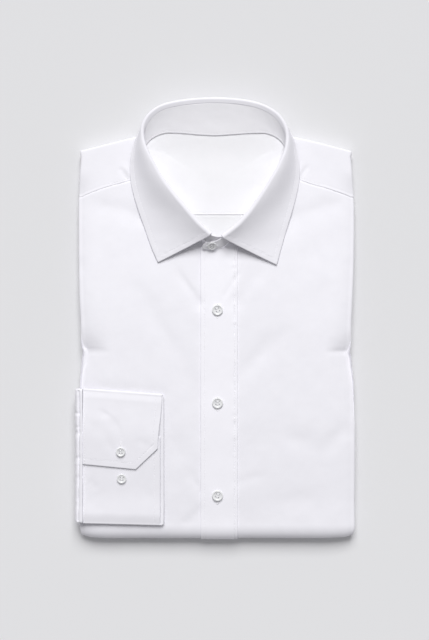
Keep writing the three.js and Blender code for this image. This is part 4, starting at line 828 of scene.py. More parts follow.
st_S, st_T, st_sag = resample(st_S), resample(st_T), resample(st_sag)
st_f = steps((0.16, 10), (0.9, 20), (1.0, 6))
st_g = st_S[None] + (st_T - st_S)[None] * st_f[:, None, None] + st_sag[None] * (4 * st_f * (1 - st_f))[:, None, None]
st_up = arc(st_g, 0)
st_cross = arc(st_g, 1)
st_n = normals(st_g)
mid_col = st_g.shape[1] // 2
if st_n[10, mid_col, 1] > 0:
    st_n = -st_n                                            # towards the neck
st_end = chord[-1] - st_at
st_z = -0.10 * np.exp(-((st_up - 2.0) / 0.5) ** 2) + 0.06 * np.exp(-((st_up - 0.9) / 0.8) ** 2)
st_z = st_z + 0.16 * noise(st_cross, st_up, 16.0, 111) * sm(0, 8, st_up) + 0.05 * noise(st_cross, st_up, 5.0, 113)
st_g = st_g + st_n * st_z[..., None] * sm(0, 6, st_end)[None, :, None]
st_n = normals(st_g) * np.sign((normals(st_g) * st_n).sum(-1, keepdims=True))
st_uv = np.stack([st_cross[len(st_cross) // 2][None, :] + 0 * st_cross, st_up], -1)
ST_T = 0.42 * np.ones_like(st_up)[..., None]
collar_stand = shell("collar_stand_cloth", st_g + st_n * ST_T, st_g - st_n * ST_T, st_uv, 0.45)


# ---------------------------------------------------------------- cuff
FOLD_SINK, LOW_RISE, LOW_SINK = 1.0, 1.9, 1.8


def cuff_lines(f, n_over=150, n_fold=12, n_back=30, n_low=10, n_under=76):
    """Middle line of the folded cuff at f, from the sleeve seam to the hem."""
    f = f[None, :]

    def X(hem):
        return mix(CUFF["seamX"], hem, f)

    top_y, bottom_y = mix(CUFF["topLeftY"], CUFF["topRightY"], f), mix(CUFF["bottomLeftY"], CUFF["bottomRightY"], f)
    r_over, r_under = (CUFF["overLift"] - CUFF["backLift"]) / 2, (CUFF["underLift"] - CUFF["backLift"]) / 2
    over0 = top_y - r_over
    xb = X(CUFF["hemBottom"])
    end = np.where(xb < CUFF["mitreX"], mix(CUFF["endLeftY"], CUFF["endRightY"], (xb - CUFF["seamX"]) / (CUFF["mitreX"] - CUFF["seamX"])),
                   mix(CUFF["endRightY"], CUFF["cornerY"], (xb - CUFF["mitreX"]) / (CUFF["hemBottom"] - CUFF["mitreX"])))
    rows, tags = [], []
    for i in range(n_over + 1):
        t = i / n_over
        y = mix(end, over0, t)
        xx = X(mix(CUFF["hemBottom"], CUFF["hemTop"], sm(0, 1, (y - CUFF["cornerY"]) / (over0 - CUFF["cornerY"]))))
        rows.append(np.stack([xx, y, top_z(xx, y) + CUFF["overLift"] - 2.0 * (1 - sm(4, 46, over0 - y)) - FOLD_SINK * (1 - sm(-2, 7, over0 - y))], -1))
        tags.append(0)
    base = top_z(X(CUFF["hemTop"]), over0)
    rz_over = r_over - (2.0 + FOLD_SINK * 0.874) / 2
    for i in range(1, n_fold + 1):
        a = np.pi * i / n_fold
        xx = X(mix(CUFF["hemTop"], CUFF["backHem"], i / n_fold))
        sn, cs = square_off(a, 2.3, 2.3)
        rows.append(np.stack([xx, over0 + r_over * sn, base + CUFF["backLift"] + rz_over * (1 + cs)], -1))
        tags.append(1)
    under0 = bottom_y + r_under
    for i in range(1, n_back + 1):
        y = mix(over0, under0, i / n_back)
        xx = X(CUFF["backHem"])
        rows.append(np.stack([xx + 0 * y, y, top_z(xx, y) + CUFF["backLift"] + LOW_RISE * (1 - sm(0, 32, y - under0))], -1))
        tags.append(2)
    base = top_z(X(CUFF["underHem"]), under0) + LOW_RISE
    rz_under = r_under - LOW_SINK * 0.802 / 2
    for i in range(1, n_low + 1):
        a = np.pi * i / n_low
        xx = X(mix(CUFF["backHem"], CUFF["underHem"], i / n_low))
        rows.append(np.stack([xx, under0 - r_under * np.sin(a), base + CUFF["backLift"] + rz_under * (1 - np.cos(a))], -1))
        tags.append(3)
    for i in range(1, n_under + 1):
        y = mix(under0, CUFF["underEndY"], i / n_under)
        xx = X(CUFF["underHem"])
        rows.append(np.stack([xx + 0 * y, y, top_z(xx, y) + CUFF["underLift"] + LOW_RISE * (1 - sm(0, 32, y - under0))
                              - LOW_SINK * (1 - sm(-4, 10, y - under0))], -1))
        tags.append(4)
    return np.stack([r[0] for r in rows]), np.array(tags)


mitre_f = (CUFF["mitreX"] - CUFF["seamX"]) / (CUFF["hemBottom"] - CUFF["seamX"])
cf_f = np.unique(np.concatenate([np.linspace(0, 0.06, 7), np.linspace(0.06, 0.86, 52), [mitre_f], np.linspace(0.86, 1.0, 24)]))
cf_g, cf_tag = cuff_lines(cf_f)
cf_u = arc(cf_g, 1)
cf_v = arc(cf_g, 0)
cf_n = normals(cf_g)
if cf_n[30, 30, 2] < 0:
    cf_n = -cf_n
over = (cf_tag == 0).astype(float)[:, None]
under = (cf_tag == 4).astype(float)[:, None]
hem_gap = cf_u[:, -1:] - cf_u
x, y = cf_g[..., 0], cf_g[..., 1]
end_gap = cf_v                                             # from the overlap's free edge, along the cuff
# square distance to the straight free edge and to the mitre
ex, ey = CUFF["mitreX"] - CUFF["seamX"], CUFF["endRightY"] - CUFF["endLeftY"]
d_free = ((y - CUFF["endLeftY"]) * ex - (x - CUFF["seamX"]) * ey) / math.hypot(ex, ey)
mx, my = CUFF["hemBottom"] - CUFF["mitreX"], CUFF["cornerY"] - CUFF["endRightY"]
d_mitre = ((y - CUFF["endRightY"]) * mx - (x - CUFF["mitreX"]) * my) / math.hypot(mx, my)
d_over = np.minimum(np.minimum(d_free, d_mitre), hem_gap)
d_edge = np.where(over > 0, d_over, hem_gap)
CUFF_CREASES = np.array([
    [-124, -91, -104, -99, -93.5, -118, 4.6, -0.5, 0.3, 0.1, 0.6],
    [-126, -92, -110, -99, -92, -97, 6.0, 0.25, 0.0, 0.0, 0.0],
    [-128, -104, -115, -112, -100, -128, 6.0, -0.28, 0.0, 0.2, 0.2],
    [-112, -120, -104, -128, -97, -140, 4.5, -0.3, 0.0, 0.0, 0.0],
    [-78, -118, -72, -124, -64, -128, 4.0, -0.25, 0.0, 0.0, 0.6],
    [-70, -84, -66, -100, -64, -116, 6.0, -0.2, 0.0, 0.0, 0.0],
])
UNDER_CREASES = np.array([
    [-128, -161, -122, -166, -119, -174, 4.0, -0.3, 0.0, 0.4, 0.0],
    [-131, -178, -120, -184, -100, -186, 7.0, -0.2, 0.0, 0.0, 0.0],
    [-76, -160, -70, -172, -66, -190, 6.0, -0.2, 0.0, 0.0, 0.0],
])
cf_z = over * crease_lift(x, y, CUFF_CREASES, 13) + under * crease_lift(x, y, UNDER_CREASES, 15)
cf_z = cf_z - (over + under) * np.where(hem_gap < 9, 0.2, 0.11) * np.exp(-((d_edge - 5.6) / 0.7) ** 2)
cf_z = cf_z + (over + under) * 0.05 * noise(cf_u, cf_v, 3.4, 121) * np.exp(-((d_edge - 5.0) / 3.0) ** 2)
cf_z = cf_z + (over + under) * (0.16 * noise(x, y, 24.0, 123) + 0.05 * noise(x, y, 8.0, 124))
cf_z = cf_z - (over + under) * 0.18 * np.exp(-((cf_u - 1.6) / 0.5) ** 2)
cf_g = cf_g + cf_n * cf_z[..., None]
cf_n = normals(cf_g) * np.sign((normals(cf_g) * cf_n).sum(-1, keepdims=True))
cuff = shell("cuff_cloth", cf_g + cf_n * 0.5, cf_g - cf_n * 0.5, np.stack([cf_u, cf_v], -1), 0.45)

# ---------------------------------------------------------------- sleeve
PLEATS = np.array([  # y, half width, lift
    [-76, 3.5, 0.5], [-93.8, 1.5, -1.0], [-99, 3.0, 0.45], [-109, 1.3, -0.5], [-113.5, 2.2, -1.0], [-122, 4.0, 0.4],
    [-139, 2.0, -0.9], [-146, 3.0, 0.4], [-160, 2.4, -0.4], [-172, 4.0, 0.35], [-187, 1.8, -0.5], [-194, 3.0, 0.25]])
SL_MID = (SLEEVE["topY"] + SLEEVE["bottomY"]) / 2
SL_HALF = (SLEEVE["topY"] - SLEEVE["bottomY"]) / 2


def sleeve_ring(at, first):
    thick = float(mix(SLEEVE["thick"], SLEEVE["sideThick"], sm(0, np.pi / 2, at)) if at <= np.pi / 2
                  else mix(SLEEVE["sideThick"], SLEEVE["tuckThick"], sm(np.pi / 2, np.pi, at)))
    swell = float(sm(0.1, 0.7, at) * (1 - sm(2.2, np.pi, at)) * 0.85 + 0.15 * (at < 1))
    x0 = CUFF["seamX"] - 0.5

    def place(y, out):
        top = plain_z(-128.0, y)
        sl_r = (top / 2 - SIDE_LAYER) / 2
        sl_cx, sl_cz = -(edge(-1, y) - sl_r), top - sl_r
        q = mix(sl_r + 0.75, sl_r + 0.45, float(sm(1.6, np.pi, at))) + out
        if first:
            return [x0 + 0 * q, y, sl_cz + np.sqrt(np.maximum(q * q - (sl_cx - x0) ** 2, 0.01))]
        if at <= np.pi:
            return [sl_cx - q * np.sin(at), y, sl_cz + q * np.cos(at)]
        return [sl_cx + (at - np.pi) + 0 * q, y, sl_cz - q]

    e = min(thick / 2, 2.0)
    lo, hi = SL_MID - SL_HALF, SL_MID + SL_HALF
    ys = np.linspace(lo + e, hi - e, 150)
    pleat = sum(p[2] * np.exp(-((ys - p[0] + 0.8 * np.sin(at * 1.7 + p[0])) / p[1]) ** 2) for p in PLEATS)
    pleat = pleat + 0.18 * noise(ys, 0 * ys + at * 2, 2.2, 131)
    groove = 1.7 * math.exp(-((at - 0.58) / 0.12) ** 2) * (1 + 0.35 * noise(ys, 0 * ys, 9.0, 133))
    outer = np.stack(place(ys, thick + 0.65 * swell * pleat - groove), -1)
    b = np.linspace(np.pi / 2, -np.pi / 2, 9)[1:-1]
    cap_hi = np.stack(place(hi - e + e * np.cos(b), thick / 2 + thick / 2 * np.sin(b)), -1)
    ys2 = np.linspace(hi - e, lo + e, 12)
    back = np.stack(place(ys2, 0 * ys2), -1)
    cap_lo = np.stack(place(lo + e - e * np.cos(b), thick / 2 - thick / 2 * np.sin(b)), -1)
    return np.concatenate([outer, cap_hi, back, cap_lo])


sl_at = np.concatenate([np.linspace(0.1, 1.0, 26), np.linspace(1.0, np.pi, 22)[1:], np.pi + np.array([1.5, 3.5, SLEEVE["tuckLength"]])])
sl_rings = np.stack([sleeve_ring(a, i == 0) for i, a in enumerate(sl_at)])
m, k = sl_rings.shape[:2]
idx = np.arange(m * k).reshape(m, k)
nxt = np.roll(idx, -1, axis=1)
sl_quads = np.stack([idx[:-1], nxt[:-1], nxt[1:], idx[1:]], -1).reshape(-1, 4)
# end caps as closed fans of quads between mirrored places of the ring
fan = []
for row in (idx[0], idx[-1]):
    flip = row is idx[-1]
    for i in range(k // 2 - 1):
        q = [row[i], row[i + 1], row[k - 2 - i], row[k - 1 - i]]
        fan.append(q[::-1] if not flip else q)
sl_quads = np.concatenate([sl_quads, np.array(fan)])
sl_pts = sl_rings.reshape(-1, 3)
vq = sl_pts[sl_quads]
if (np.einsum("ij,ij->i", vq[:, 0], np.cross(vq[:, 1], vq[:, 2]))).sum() < 0:
    sl_quads = sl_quads[:, ::-1]
sl_uv = np.stack([np.repeat(sl_at * 8, k), sl_pts[:, 1]], -1)
sleeve = build_mesh("sleeve_cloth", [(sl_pts, sl_quads)], [sl_uv])


# ---------------------------------------------------------------- hidden layers
def layer_block():
    """One rounded block inside the pack, with three folded edges in each side slot."""
    parts, uvs = [], []
    ys = np.concatenate([np.linspace(-209, 150, 60), np.linspace(152, 172, 8)])
    xs = np.linspace(-1, 1, 41)
    half = np.minimum(edge(-1, np.clip(ys, -210, 160)), edge(1, np.clip(ys, -210, 160))) - 16.5
    X = xs[None, :] * half[:, None]
    Y = ys[:, None] + 0 * X
    Y = np.minimum(Y, top_fold(X) + 2.0)
    pocket = (np.abs(X) < 92) & (Y > 54.5)
    top = np.where(pocket, lining_top(X, Y) - 1.9, plain_z(X, Y) + crown(X, Y) - 2.6)
    for side in (-1, 1):
        top = top + 1.1 * np.where(X * side > 0, notch_lift(side, side * edge(side, Y), X, Y), 0)
    low = np.where((X > PLACKET_L - 1) & (X < PLACKET_R + 1), 3.1, 1.7) + 0 * X
    o = np.stack([X, Y, top], -1)
    i = np.stack([X, Y, low], -1)
    p, q, w = shell_parts(o, i, np.stack([X, Y], -1), 0.08)
    parts.append((p, q))
    uvs.append(w)
    for side in (-1, 1):
        y = np.linspace(-209, 147, 150)
        for k, dz in enumerate((0.62, 0.0, -0.62)):
            out = edge(side, y) - 2.6 - 0.9 * (k == 1) - 0.7 * np.abs(noise(y, 0 * y + k, 26.0, 141 + k + 3 * side)) - 0.3 * noise(y, 0 * y, 6.0, 151 + k)
            if side < 0:                       # the sleeve enters the slot here
                out = mix(out, edge(side, y) - 15.5, sm(-64, -70, y) * sm(-212, -206, y))
            rin = edge(side, y) - 18.0
            f = np.linspace(0, 1, 7)[None, :]
            Xr = side * mix(rin[:, None], out[:, None], f)
            mid_z = plain_z(side * 128.0, y)[:, None] / 2 + dz + 0.12 * noise(Xr, y[:, None] + 0 * Xr, 12.0, 161 + k)
            Yr = y[:, None] + 0 * Xr
            o = np.stack([Xr, Yr, mid_z + 0.24], -1)
            i = np.stack([Xr, Yr, mid_z - 0.24], -1)
            p, q, w = shell_parts(o, i, np.stack([Xr, Yr], -1), 0.6)
            parts.append((p, q))
            uvs.append(w)
    return build_mesh("inner_layers", parts, uvs)


layers = layer_block()

# ---------------------------------------------------------------- buttons
def button_frame(name):
    """Place and turn of a packed button, read from its own solid."""
    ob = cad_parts[name]
    ob = ob if hasattr(ob, "data") else bpy.data.objects[name]
    p = np.array([v.co for v in ob.data.vertices]) / MM
    c = p.mean(axis=0)
    w, vec = np.linalg.eigh(np.cov((p - c).T))
    axis = vec[:, 0]
    if axis[2] < 0:
        axis = -axis
    if name == "button_collar" and axis[1] > 0:
        axis = -axis
    # base of the button along its axis
    s = (p - c) @ axis
    mid_c = c + axis * (s.min() + s.max()) / 2
    q = p - mid_c
    q = q - np.outer(q @ axis, axis)
    # centre by the middle of its round outline
    across = unit(np.cross([0.0, 1.0, 0.0] if abs(axis[1]) < 0.9 else [1.0, 0.0, 0.0], axis))
    up = np.cross(axis, across)
    cu, cv = (q @ across), (q @ up)
    centre = mid_c + across * (cu.min() + cu.max()) / 2 + up * (cv.min() + cv.max()) / 2
    return centre + axis * (s.min() - (s.min() + s.max()) / 2), axis, across, up, (cu.max() - cu.min()), s.max() - s.min()


def tube(points, radius, sides=6):
    """Closed thin tube along points; a taper at each end."""
    points = np.asarray(points, float)
    t = unit(np.gradient(points, axis=0))
    ref = np.array([0.0, 0.0, 1.0]) if abs(t[len(t) // 2, 2]) < 0.8 else np.array([1.0, 0.0, 0.0])
    a = unit(np.cross(t, ref))
    b = np.cross(t, a)
    k = len(points)
    rad = radius * np.sqrt(np.clip(1 - (np.abs(np.linspace(-1, 1, k)) ** 4), 0.03, 1))
    ang = np.linspace(0, 2 * np.pi, sides, endpoint=False)
    ring = points[:, None] + rad[:, None, None] * (a[:, None] * np.cos(ang)[None, :, None] + b[:, None] * np.sin(ang)[None, :, None])
    idx = np.arange(k * sides).reshape(k, sides)
    nxt = np.roll(idx, -1, axis=1)
    quads = np.stack([idx[:-1], nxt[:-1], nxt[1:], idx[1:]], -1).reshape(-1, 4)
    caps = [[idx[0, (s + 0) % sides], idx[0, (-s - 1) % sides], idx[0, (-s - 2) % sides], idx[0, (s + 1) % sides]] for s in range(sides // 2 - 1)]
    caps += [[idx[-1, (s + 1) % sides], idx[-1, (-s - 2) % sides], idx[-1, (-s - 1) % sides], idx[-1, (s + 0) % sides]] for s in range(sides // 2 - 1)]
    return ring.reshape(-1, 3), np.concatenate([quads, np.array(caps)])


SEAT_DOWN = {"button_front_1": 0.45, "button_front_2": 0.45, "button_front_3": 0.45, "button_cuff_1": 0.25, "button_cuff_2": 0.25, "button_collar": 0.3}


def make_button(name, piece, turn):
    base, axis, across, up, dia, height = button_frame(name)
    base = base - axis * SEAT_DOWN.get(name, 0.0)
    r, t = dia / 2, height * (0.7 if name == "button_collar" else 0.82)
    pitch, hole = (1.45, 0.78) if dia > 10 else (1.25, 0.68)
    # profile from the back's middle, over the rim, to the dished face
    prof = np.array([[0.0, 0.0], [0.45, 0.0], [0.72, 0.01], [0.84, 0.10], [0.93, 0.26], [0.985, 0.42], [1.0, 0.55], [0.992, 0.70], [0.965, 0.84],
                     [0.92, 0.94], [0.87, 0.99], [0.82, 1.0], [0.77, 0.975], [0.725, 0.90], [0.69, 0.80], [0.65, 0.71], [0.60, 0.655], [0.52, 0.63],
                     [0.40, 0.62], [0.2, 0.615], [0.0, 0.615]])
    me = bpy.data.meshes.new(piece)
    seg = 48
    pts, faces = [], []
    for j, (pr, pz) in enumerate(prof[1:-1]):
        for i in range(seg):
            a = 2 * math.pi * i / seg
            pts.append((pr * r * math.cos(a), pr * r * math.sin(a), pz * t))
    rows = len(prof) - 2
    for j in range(rows - 1):
        for i in range(seg):
            faces.append((j * seg + i, j * seg + (i + 1) % seg, (j + 1) * seg + (i + 1) % seg, (j + 1) * seg + i))
    pts += [(0, 0, 0), (0, 0, prof[-1][1] * t)]
    b0, b1 = len(pts) - 2, len(pts) - 1
    for i in range(seg):
        faces.append((b0, (i + 1) % seg, i))
        faces.append((b1, (rows - 1) * seg + i, (rows - 1) * seg + (i + 1) % seg))
    me.from_pydata([(x * MM, y * MM, z * MM) for x, y, z in pts], [], faces)
    me.update()
    ob = bpy.data.objects.new(piece, me)
    scene.collection.objects.link(ob)
    cutters = []
    for sx in (-1, 1):
        for sy in (-1, 1):
            cm = bpy.data.meshes.new("hole")
            cp, cfa = [], []
            n = 20
            for z in (-2.0, t + 2.0):
                for i in range(n):
                    a = 2 * math.pi * i / n
                    cp.append(((sx * pitch + hole * math.cos(a)) * MM, (sy * pitch + hole * math.sin(a)) * MM, z * MM))
            cfa.append(tuple(range(n))[::-1])
            cfa.append(tuple(range(n, 2 * n)))
            for i in range(n):
                cfa.append((i, (i + 1) % n, n + (i + 1) % n, n + i))
            cm.from_pydata(cp, [], cfa)
            cm.update()
            co = bpy.data.objects.new("hole", cm)
            scene.collection.objects.link(co)
            mod = ob.modifiers.new("hole", "BOOLEAN")
            mod.operation, mod.solver, mod.object = "DIFFERENCE", "EXACT", co
            cutters.append(co)
    dg = bpy.context.evaluated_depsgraph_get()
    cut = bpy.data.meshes.new_from_object(ob.evaluated_get(dg))
    ob.modifiers.clear()
    ob.data = cut
    cut.name = piece
    for co in cutters:
        mesh = co.data
        bpy.data.objects.remove(co)
        bpy.data.meshes.remove(mesh)
    for p in cut.polygons:
        p.use_smooth = True
    c, s = math.cos(turn), math.sin(turn)
    ax, bx = across * c + up * s, -across * s + up * c
    m = Matrix(((ax[0], bx[0], axis[0], base[0] * MM), (ax[1], bx[1], axis[1], base[1] * MM), (ax[2], bx[2], axis[2], base[2] * MM), (0, 0, 0, 1)))
    cut.transform(m)
    if hasattr(cut, "set_sharp_from_angle"):
        cut.set_sharp_from_angle(angle=math.radians(38))
    # thread: two bars of three strands over the face
    parts = []
    face = prof[-1][1] * t

    def world_of(p):
        p = np.asarray(p, float)
        return base + p[..., 0:1] * ax + p[..., 1:2] * bx + p[..., 2:3] * axis

    for sy in (-1, 1):
        for k in (-1, 0, 1):
            u = np.linspace(-1, 1, 11)
            off = 0.20 * k
            line = np.stack([u * pitch * 1.12, sy * pitch + off + 0.05 * np.sin(3 * u + k), face + 0.30 - 0.85 * np.abs(u) ** 5 + 0.06 * (1 - abs(k))], -1)
            parts.append(tube(world_of(line), 0.15))
    th = build_mesh(piece + "_thread", parts)
    return ob, th


BUTTONS = [("button_front_1", "front_button_1", 0.35), ("button_front_2", "front_button_2", 0.05), ("button_front_3", "front_button_3", -0.35),
           ("button_cuff_1", "cuff_button_1", 0.12), ("button_cuff_2", "cuff_button_2", -0.1), ("button_collar", "collar_button", 0.1)]
buttons, threads = {}, {}
for node, piece, turn in BUTTONS:
    buttons[node], threads[node] = make_button(node, piece, turn)

# ---------------------------------------------------------------- stitches
def stitch_row(points, nrm, pitch=2.7, length=2.0, radius=0.17, lift=0.05, skip=0.0):
    """A row of single stitches along a line of surface points."""
    keep = np.concatenate([[True], np.linalg.norm(np.diff(points, axis=0), axis=1) > 1e-6])
    points, nrm = points[keep], nrm[keep]
    s = np.concatenate([[0], np.cumsum(np.linalg.norm(np.diff(points, axis=0), axis=1))])
    n = int((s[-1] - 2 * skip) / pitch)
    if n < 1:
        return np.zeros((0, 3)), np.zeros((0, 4), int)
    start = skip + (s[-1] - 2 * skip - n * pitch) / 2 + np.arange(n) * pitch
    prof = np.array([0.0, 0.12, 0.5, 0.88, 1.0])
    high = np.array([-0.16, 0.05, 0.12, 0.05, -0.16])
    rad = np.array([0.4, 0.95, 1.0, 0.95, 0.4]) * radius
    at = start[:, None] + prof[None, :] * length
    P = np.stack([np.interp(at, s, points[:, k]) for k in range(3)], -1)
    N = unit(np.stack([np.interp(at, s, nrm[:, k]) for k in range(3)], -1))
    Tn = unit(np.gradient(P, axis=1))
    P = P + N * (high + lift)[None, :, None]
    B = np.cross(Tn, N)
    sides = 6
    ang = np.linspace(0, 2 * np.pi, sides, endpoint=False)
    ring = P[:, :, None] + rad[None, :, None, None] * (B[:, :, None] * np.cos(ang)[None, None, :, None] + N[:, :, None] * np.sin(ang)[None, None, :, None] * 0.75)
    pts = ring.reshape(-1, 3)
    idx = np.arange(5 * sides).reshape(5, sides)
    nxt = np.roll(idx, -1, axis=1)
    q = np.stack([idx[:-1], idx[1:], nxt[1:], nxt[:-1]], -1).reshape(-1, 4)
    caps = np.array([[idx[0, 0], idx[0, 1], idx[0, 4], idx[0, 5]], [idx[0, 1], idx[0, 2], idx[0, 3], idx[0, 4]],
                     [idx[-1, 5], idx[-1, 4], idx[-1, 1], idx[-1, 0]], [idx[-1, 4], idx[-1, 3], idx[-1, 2], idx[-1, 1]]])
    q = np.concatenate([q, caps])
    quads = (q[None] + (np.arange(n) * 5 * sides)[:, None, None]).reshape(-1, 4)
    return pts, quads


def iso_line(g, n, value, level, axis=1):
    """Points of a grid where value crosses level, one for each row (axis 1) or column (axis 0)."""
    if axis == 0:
        g, n, value = g.transpose(1, 0, 2), n.transpose(1, 0, 2), value.T
    out_p, out_n = [], []
    for r in range(g.shape[0]):
        v = value[r] - level
        k = np.where((v[:-1] <= 0) != (v[1:] <= 0))[0]
        if len(k):
            k = k[0]
            t = v[k] / (v[k] - v[k + 1])
            out_p.append(mix(g[r, k], g[r, k + 1], t))
            out_n.append(unit(mix(n[r, k], n[r, k + 1], t)))
    return np.array(out_p), np.array(out_n)


rows = []
# placket: one row inside each edge, over the top and round the fold
gap_l = pk_g[..., 0] - PLACKET_L
visible = slice(3, len(pk_top) + 12)
rows.append(stitch_row(*iso_line(pk_g[visible], pk_n[visible], gap_l[visible], 4.1)))
rows.append(stitch_row(*iso_line(pk_g[visible], pk_n[visible], (PLACKET_R - pk_g[..., 0])[visible] * -1, -3.0)))
# yoke seams on the shoulders
for lo, hi in ((26, 52), (len(yk_cols) - 52, len(yk_cols) - 26)):
    sl = (slice(0, 20), slice(lo, hi))
    rows.append(stitch_row(*iso_line(yk_g[sl], yk_n[sl], yk_gap[sl], 2.6, axis=0), lift=0.03))
# inner yoke seam
rows.append(stitch_row(*iso_line(ln_g, ln_n, -(ln_g[..., 1] - 104.3), -2.1, axis=0), lift=0.02))
# collar leaf: its outer edge and both front edges
lf_out, lf_on = lf_g + lf_n * 0.5, lf_n
col0 = int(np.argmin(np.abs(lf_cross[-1] - 4.8)))
col1 = int(np.argmin(np.abs(lf_cross[-1, -1] - lf_cross[-1] - 4.8)))
rows.append(stitch_row(*iso_line(lf_out[:, col0:col1], lf_on[:, col0:col1], -lf_edge[:, col0:col1], -4.8, axis=0)))
low_rows = slice(int(np.argmin(np.abs(lf_along[:, 2] - 12))), int(np.argmin(np.abs(lf_edge[:, 2] - 4.8))))
rows.append(stitch_row(*iso_line(lf_out[low_rows], lf_on[low_rows], lf_cross[low_rows], 4.8)))
rows.append(stitch_row(*iso_line(lf_out[low_rows], lf_on[low_rows], lf_cross[low_rows] - lf_cross[low_rows][:, -1:], -4.8)))
# stand: inside, above its seam
rows.append(stitch_row(*iso_line((st_g + st_n * ST_T), st_n, st_up, 2.0, axis=0), radius=0.13))
# cuff: round the overlap, along the hem, along the sleeve seam
top_rows = np.where(cf_tag == 0)[0]
co, cn = cf_g + cf_n * 0.5, cf_n
o = slice(top_rows[0], top_rows[-1] + 1)
rows.append(stitch_row(*iso_line(co[o, 3:60], cn[o, 3:60], np.minimum(d_free, d_mitre)[o, 3:60], 5.6, axis=0)))
hem_o = slice(top_rows[int(np.argmin(np.abs(d_mitre[o, -8] - 6)))], top_rows[-1] + 1)
rows.append(stitch_row(*iso_line(co[hem_o], cn[hem_o], -hem_gap[hem_o], -5.6)))
u_rows = np.where(cf_tag == 4)[0]
uo = slice(u_rows[2], u_rows[-1] - 8)
rows.append(stitch_row(*iso_line(co[uo], cn[uo], -hem_gap[uo], -5.6)))
rows.append(stitch_row(*iso_line(co[o], cn[o], cf_u[o], 1.6)))
rows.append(stitch_row(*iso_line(co[uo], cn[uo], cf_u[uo], 1.6)))
rows = [(p, q) for p, q in rows if len(p)]
stitches = build_mesh("stitching", rows)


def buttonhole(centre, nrm, way, length):
    """Two close ridges of thread round a slit, with a bar at each end."""
    way, nrm = unit(np.asarray(way, float)), unit(np.asarray(nrm, float))
    side = np.cross(nrm, way)
    parts = []
    a = np.linspace(0, 2 * np.pi, 61)
    loop_u = (length / 2) * np.sign(np.cos(a)) * np.abs(np.cos(a)) ** 0.35
    loop_v = 0.55 * np.sign(np.sin(a)) * np.abs(np.sin(a)) ** 0.45
    half = np.stack([loop_u, loop_v], -1)
    for sgn in (-1, 1):
        u = np.linspace(-length / 2, length / 2, 40)
        line = centre + way * u[:, None] + side * (sgn * 0.5 + 0.04 * np.sin(u * 9)[:, None]) + nrm * 0.12
        parts.append(tube(line, 0.30))
    for sgn in (-1, 1):
        v = np.linspace(-0.85, 0.85, 9)
        line = centre + way * (sgn * length / 2) + side * v[:, None] + nrm * 0.13
        parts.append(tube(line, 0.30))
    return parts


def surface_at(g, n, x, y):
    d = (g[..., 0] - x) ** 2 + (g[..., 1] - y) ** 2 + np.where(n[..., 2] > 0.5, 0, 1e6)
    k = np.unravel_index(np.argmin(d), d.shape)
    return np.array([x, y, g[k][2]]), n[k]


holes = []
for bx, by in ((2.4, 8.5), (2.4, -84.4), (2.4, -177.2)):
    c, nn = surface_at(pk_g[:len(pk_top)], pk_n[:len(pk_top)], bx, by - 1.0)
    holes += buttonhole(c, nn, (0, 1, 0), 14.0)
c, nn = surface_at(co[o], cn[o], -94.0, -129.6)
holes += buttonhole(c, nn, (0.06, 1, 0), 13.5)
b_base, b_axis, b_across, b_up, _d, _h = button_frame("button_collar")
holes += buttonhole(b_base - b_axis * 0.3, b_axis, b_across, 12.5)
hole_threads = build_mesh("buttonholes", holes)

# ---------------------------------------------------------------- materials
def new_material(name):
    mat = bpy.data.materials.new(name)
    mat.use_nodes = True
    nt = mat.node_tree
    bsdf = nt.nodes["Principled BSDF"]
    return mat, nt, bsdf


def node(nt, kind, **props):
    n = nt.nodes.new(kind)
    for k, v in props.items():
        setattr(n, k, v)
    return n


def math_node(nt, op, a, b=None, clamp=False):
    n = nt.nodes.new("ShaderNodeMath")
    n.operation = op
    n.use_clamp = clamp
    for i, v in enumerate((a, b)):
        if v is None:
            continue
        if isinstance(v, (int, float)):
            n.inputs[i].default_value = v
        else:
            nt.links.new(v, n.inputs[i])
    return n.outputs[0]


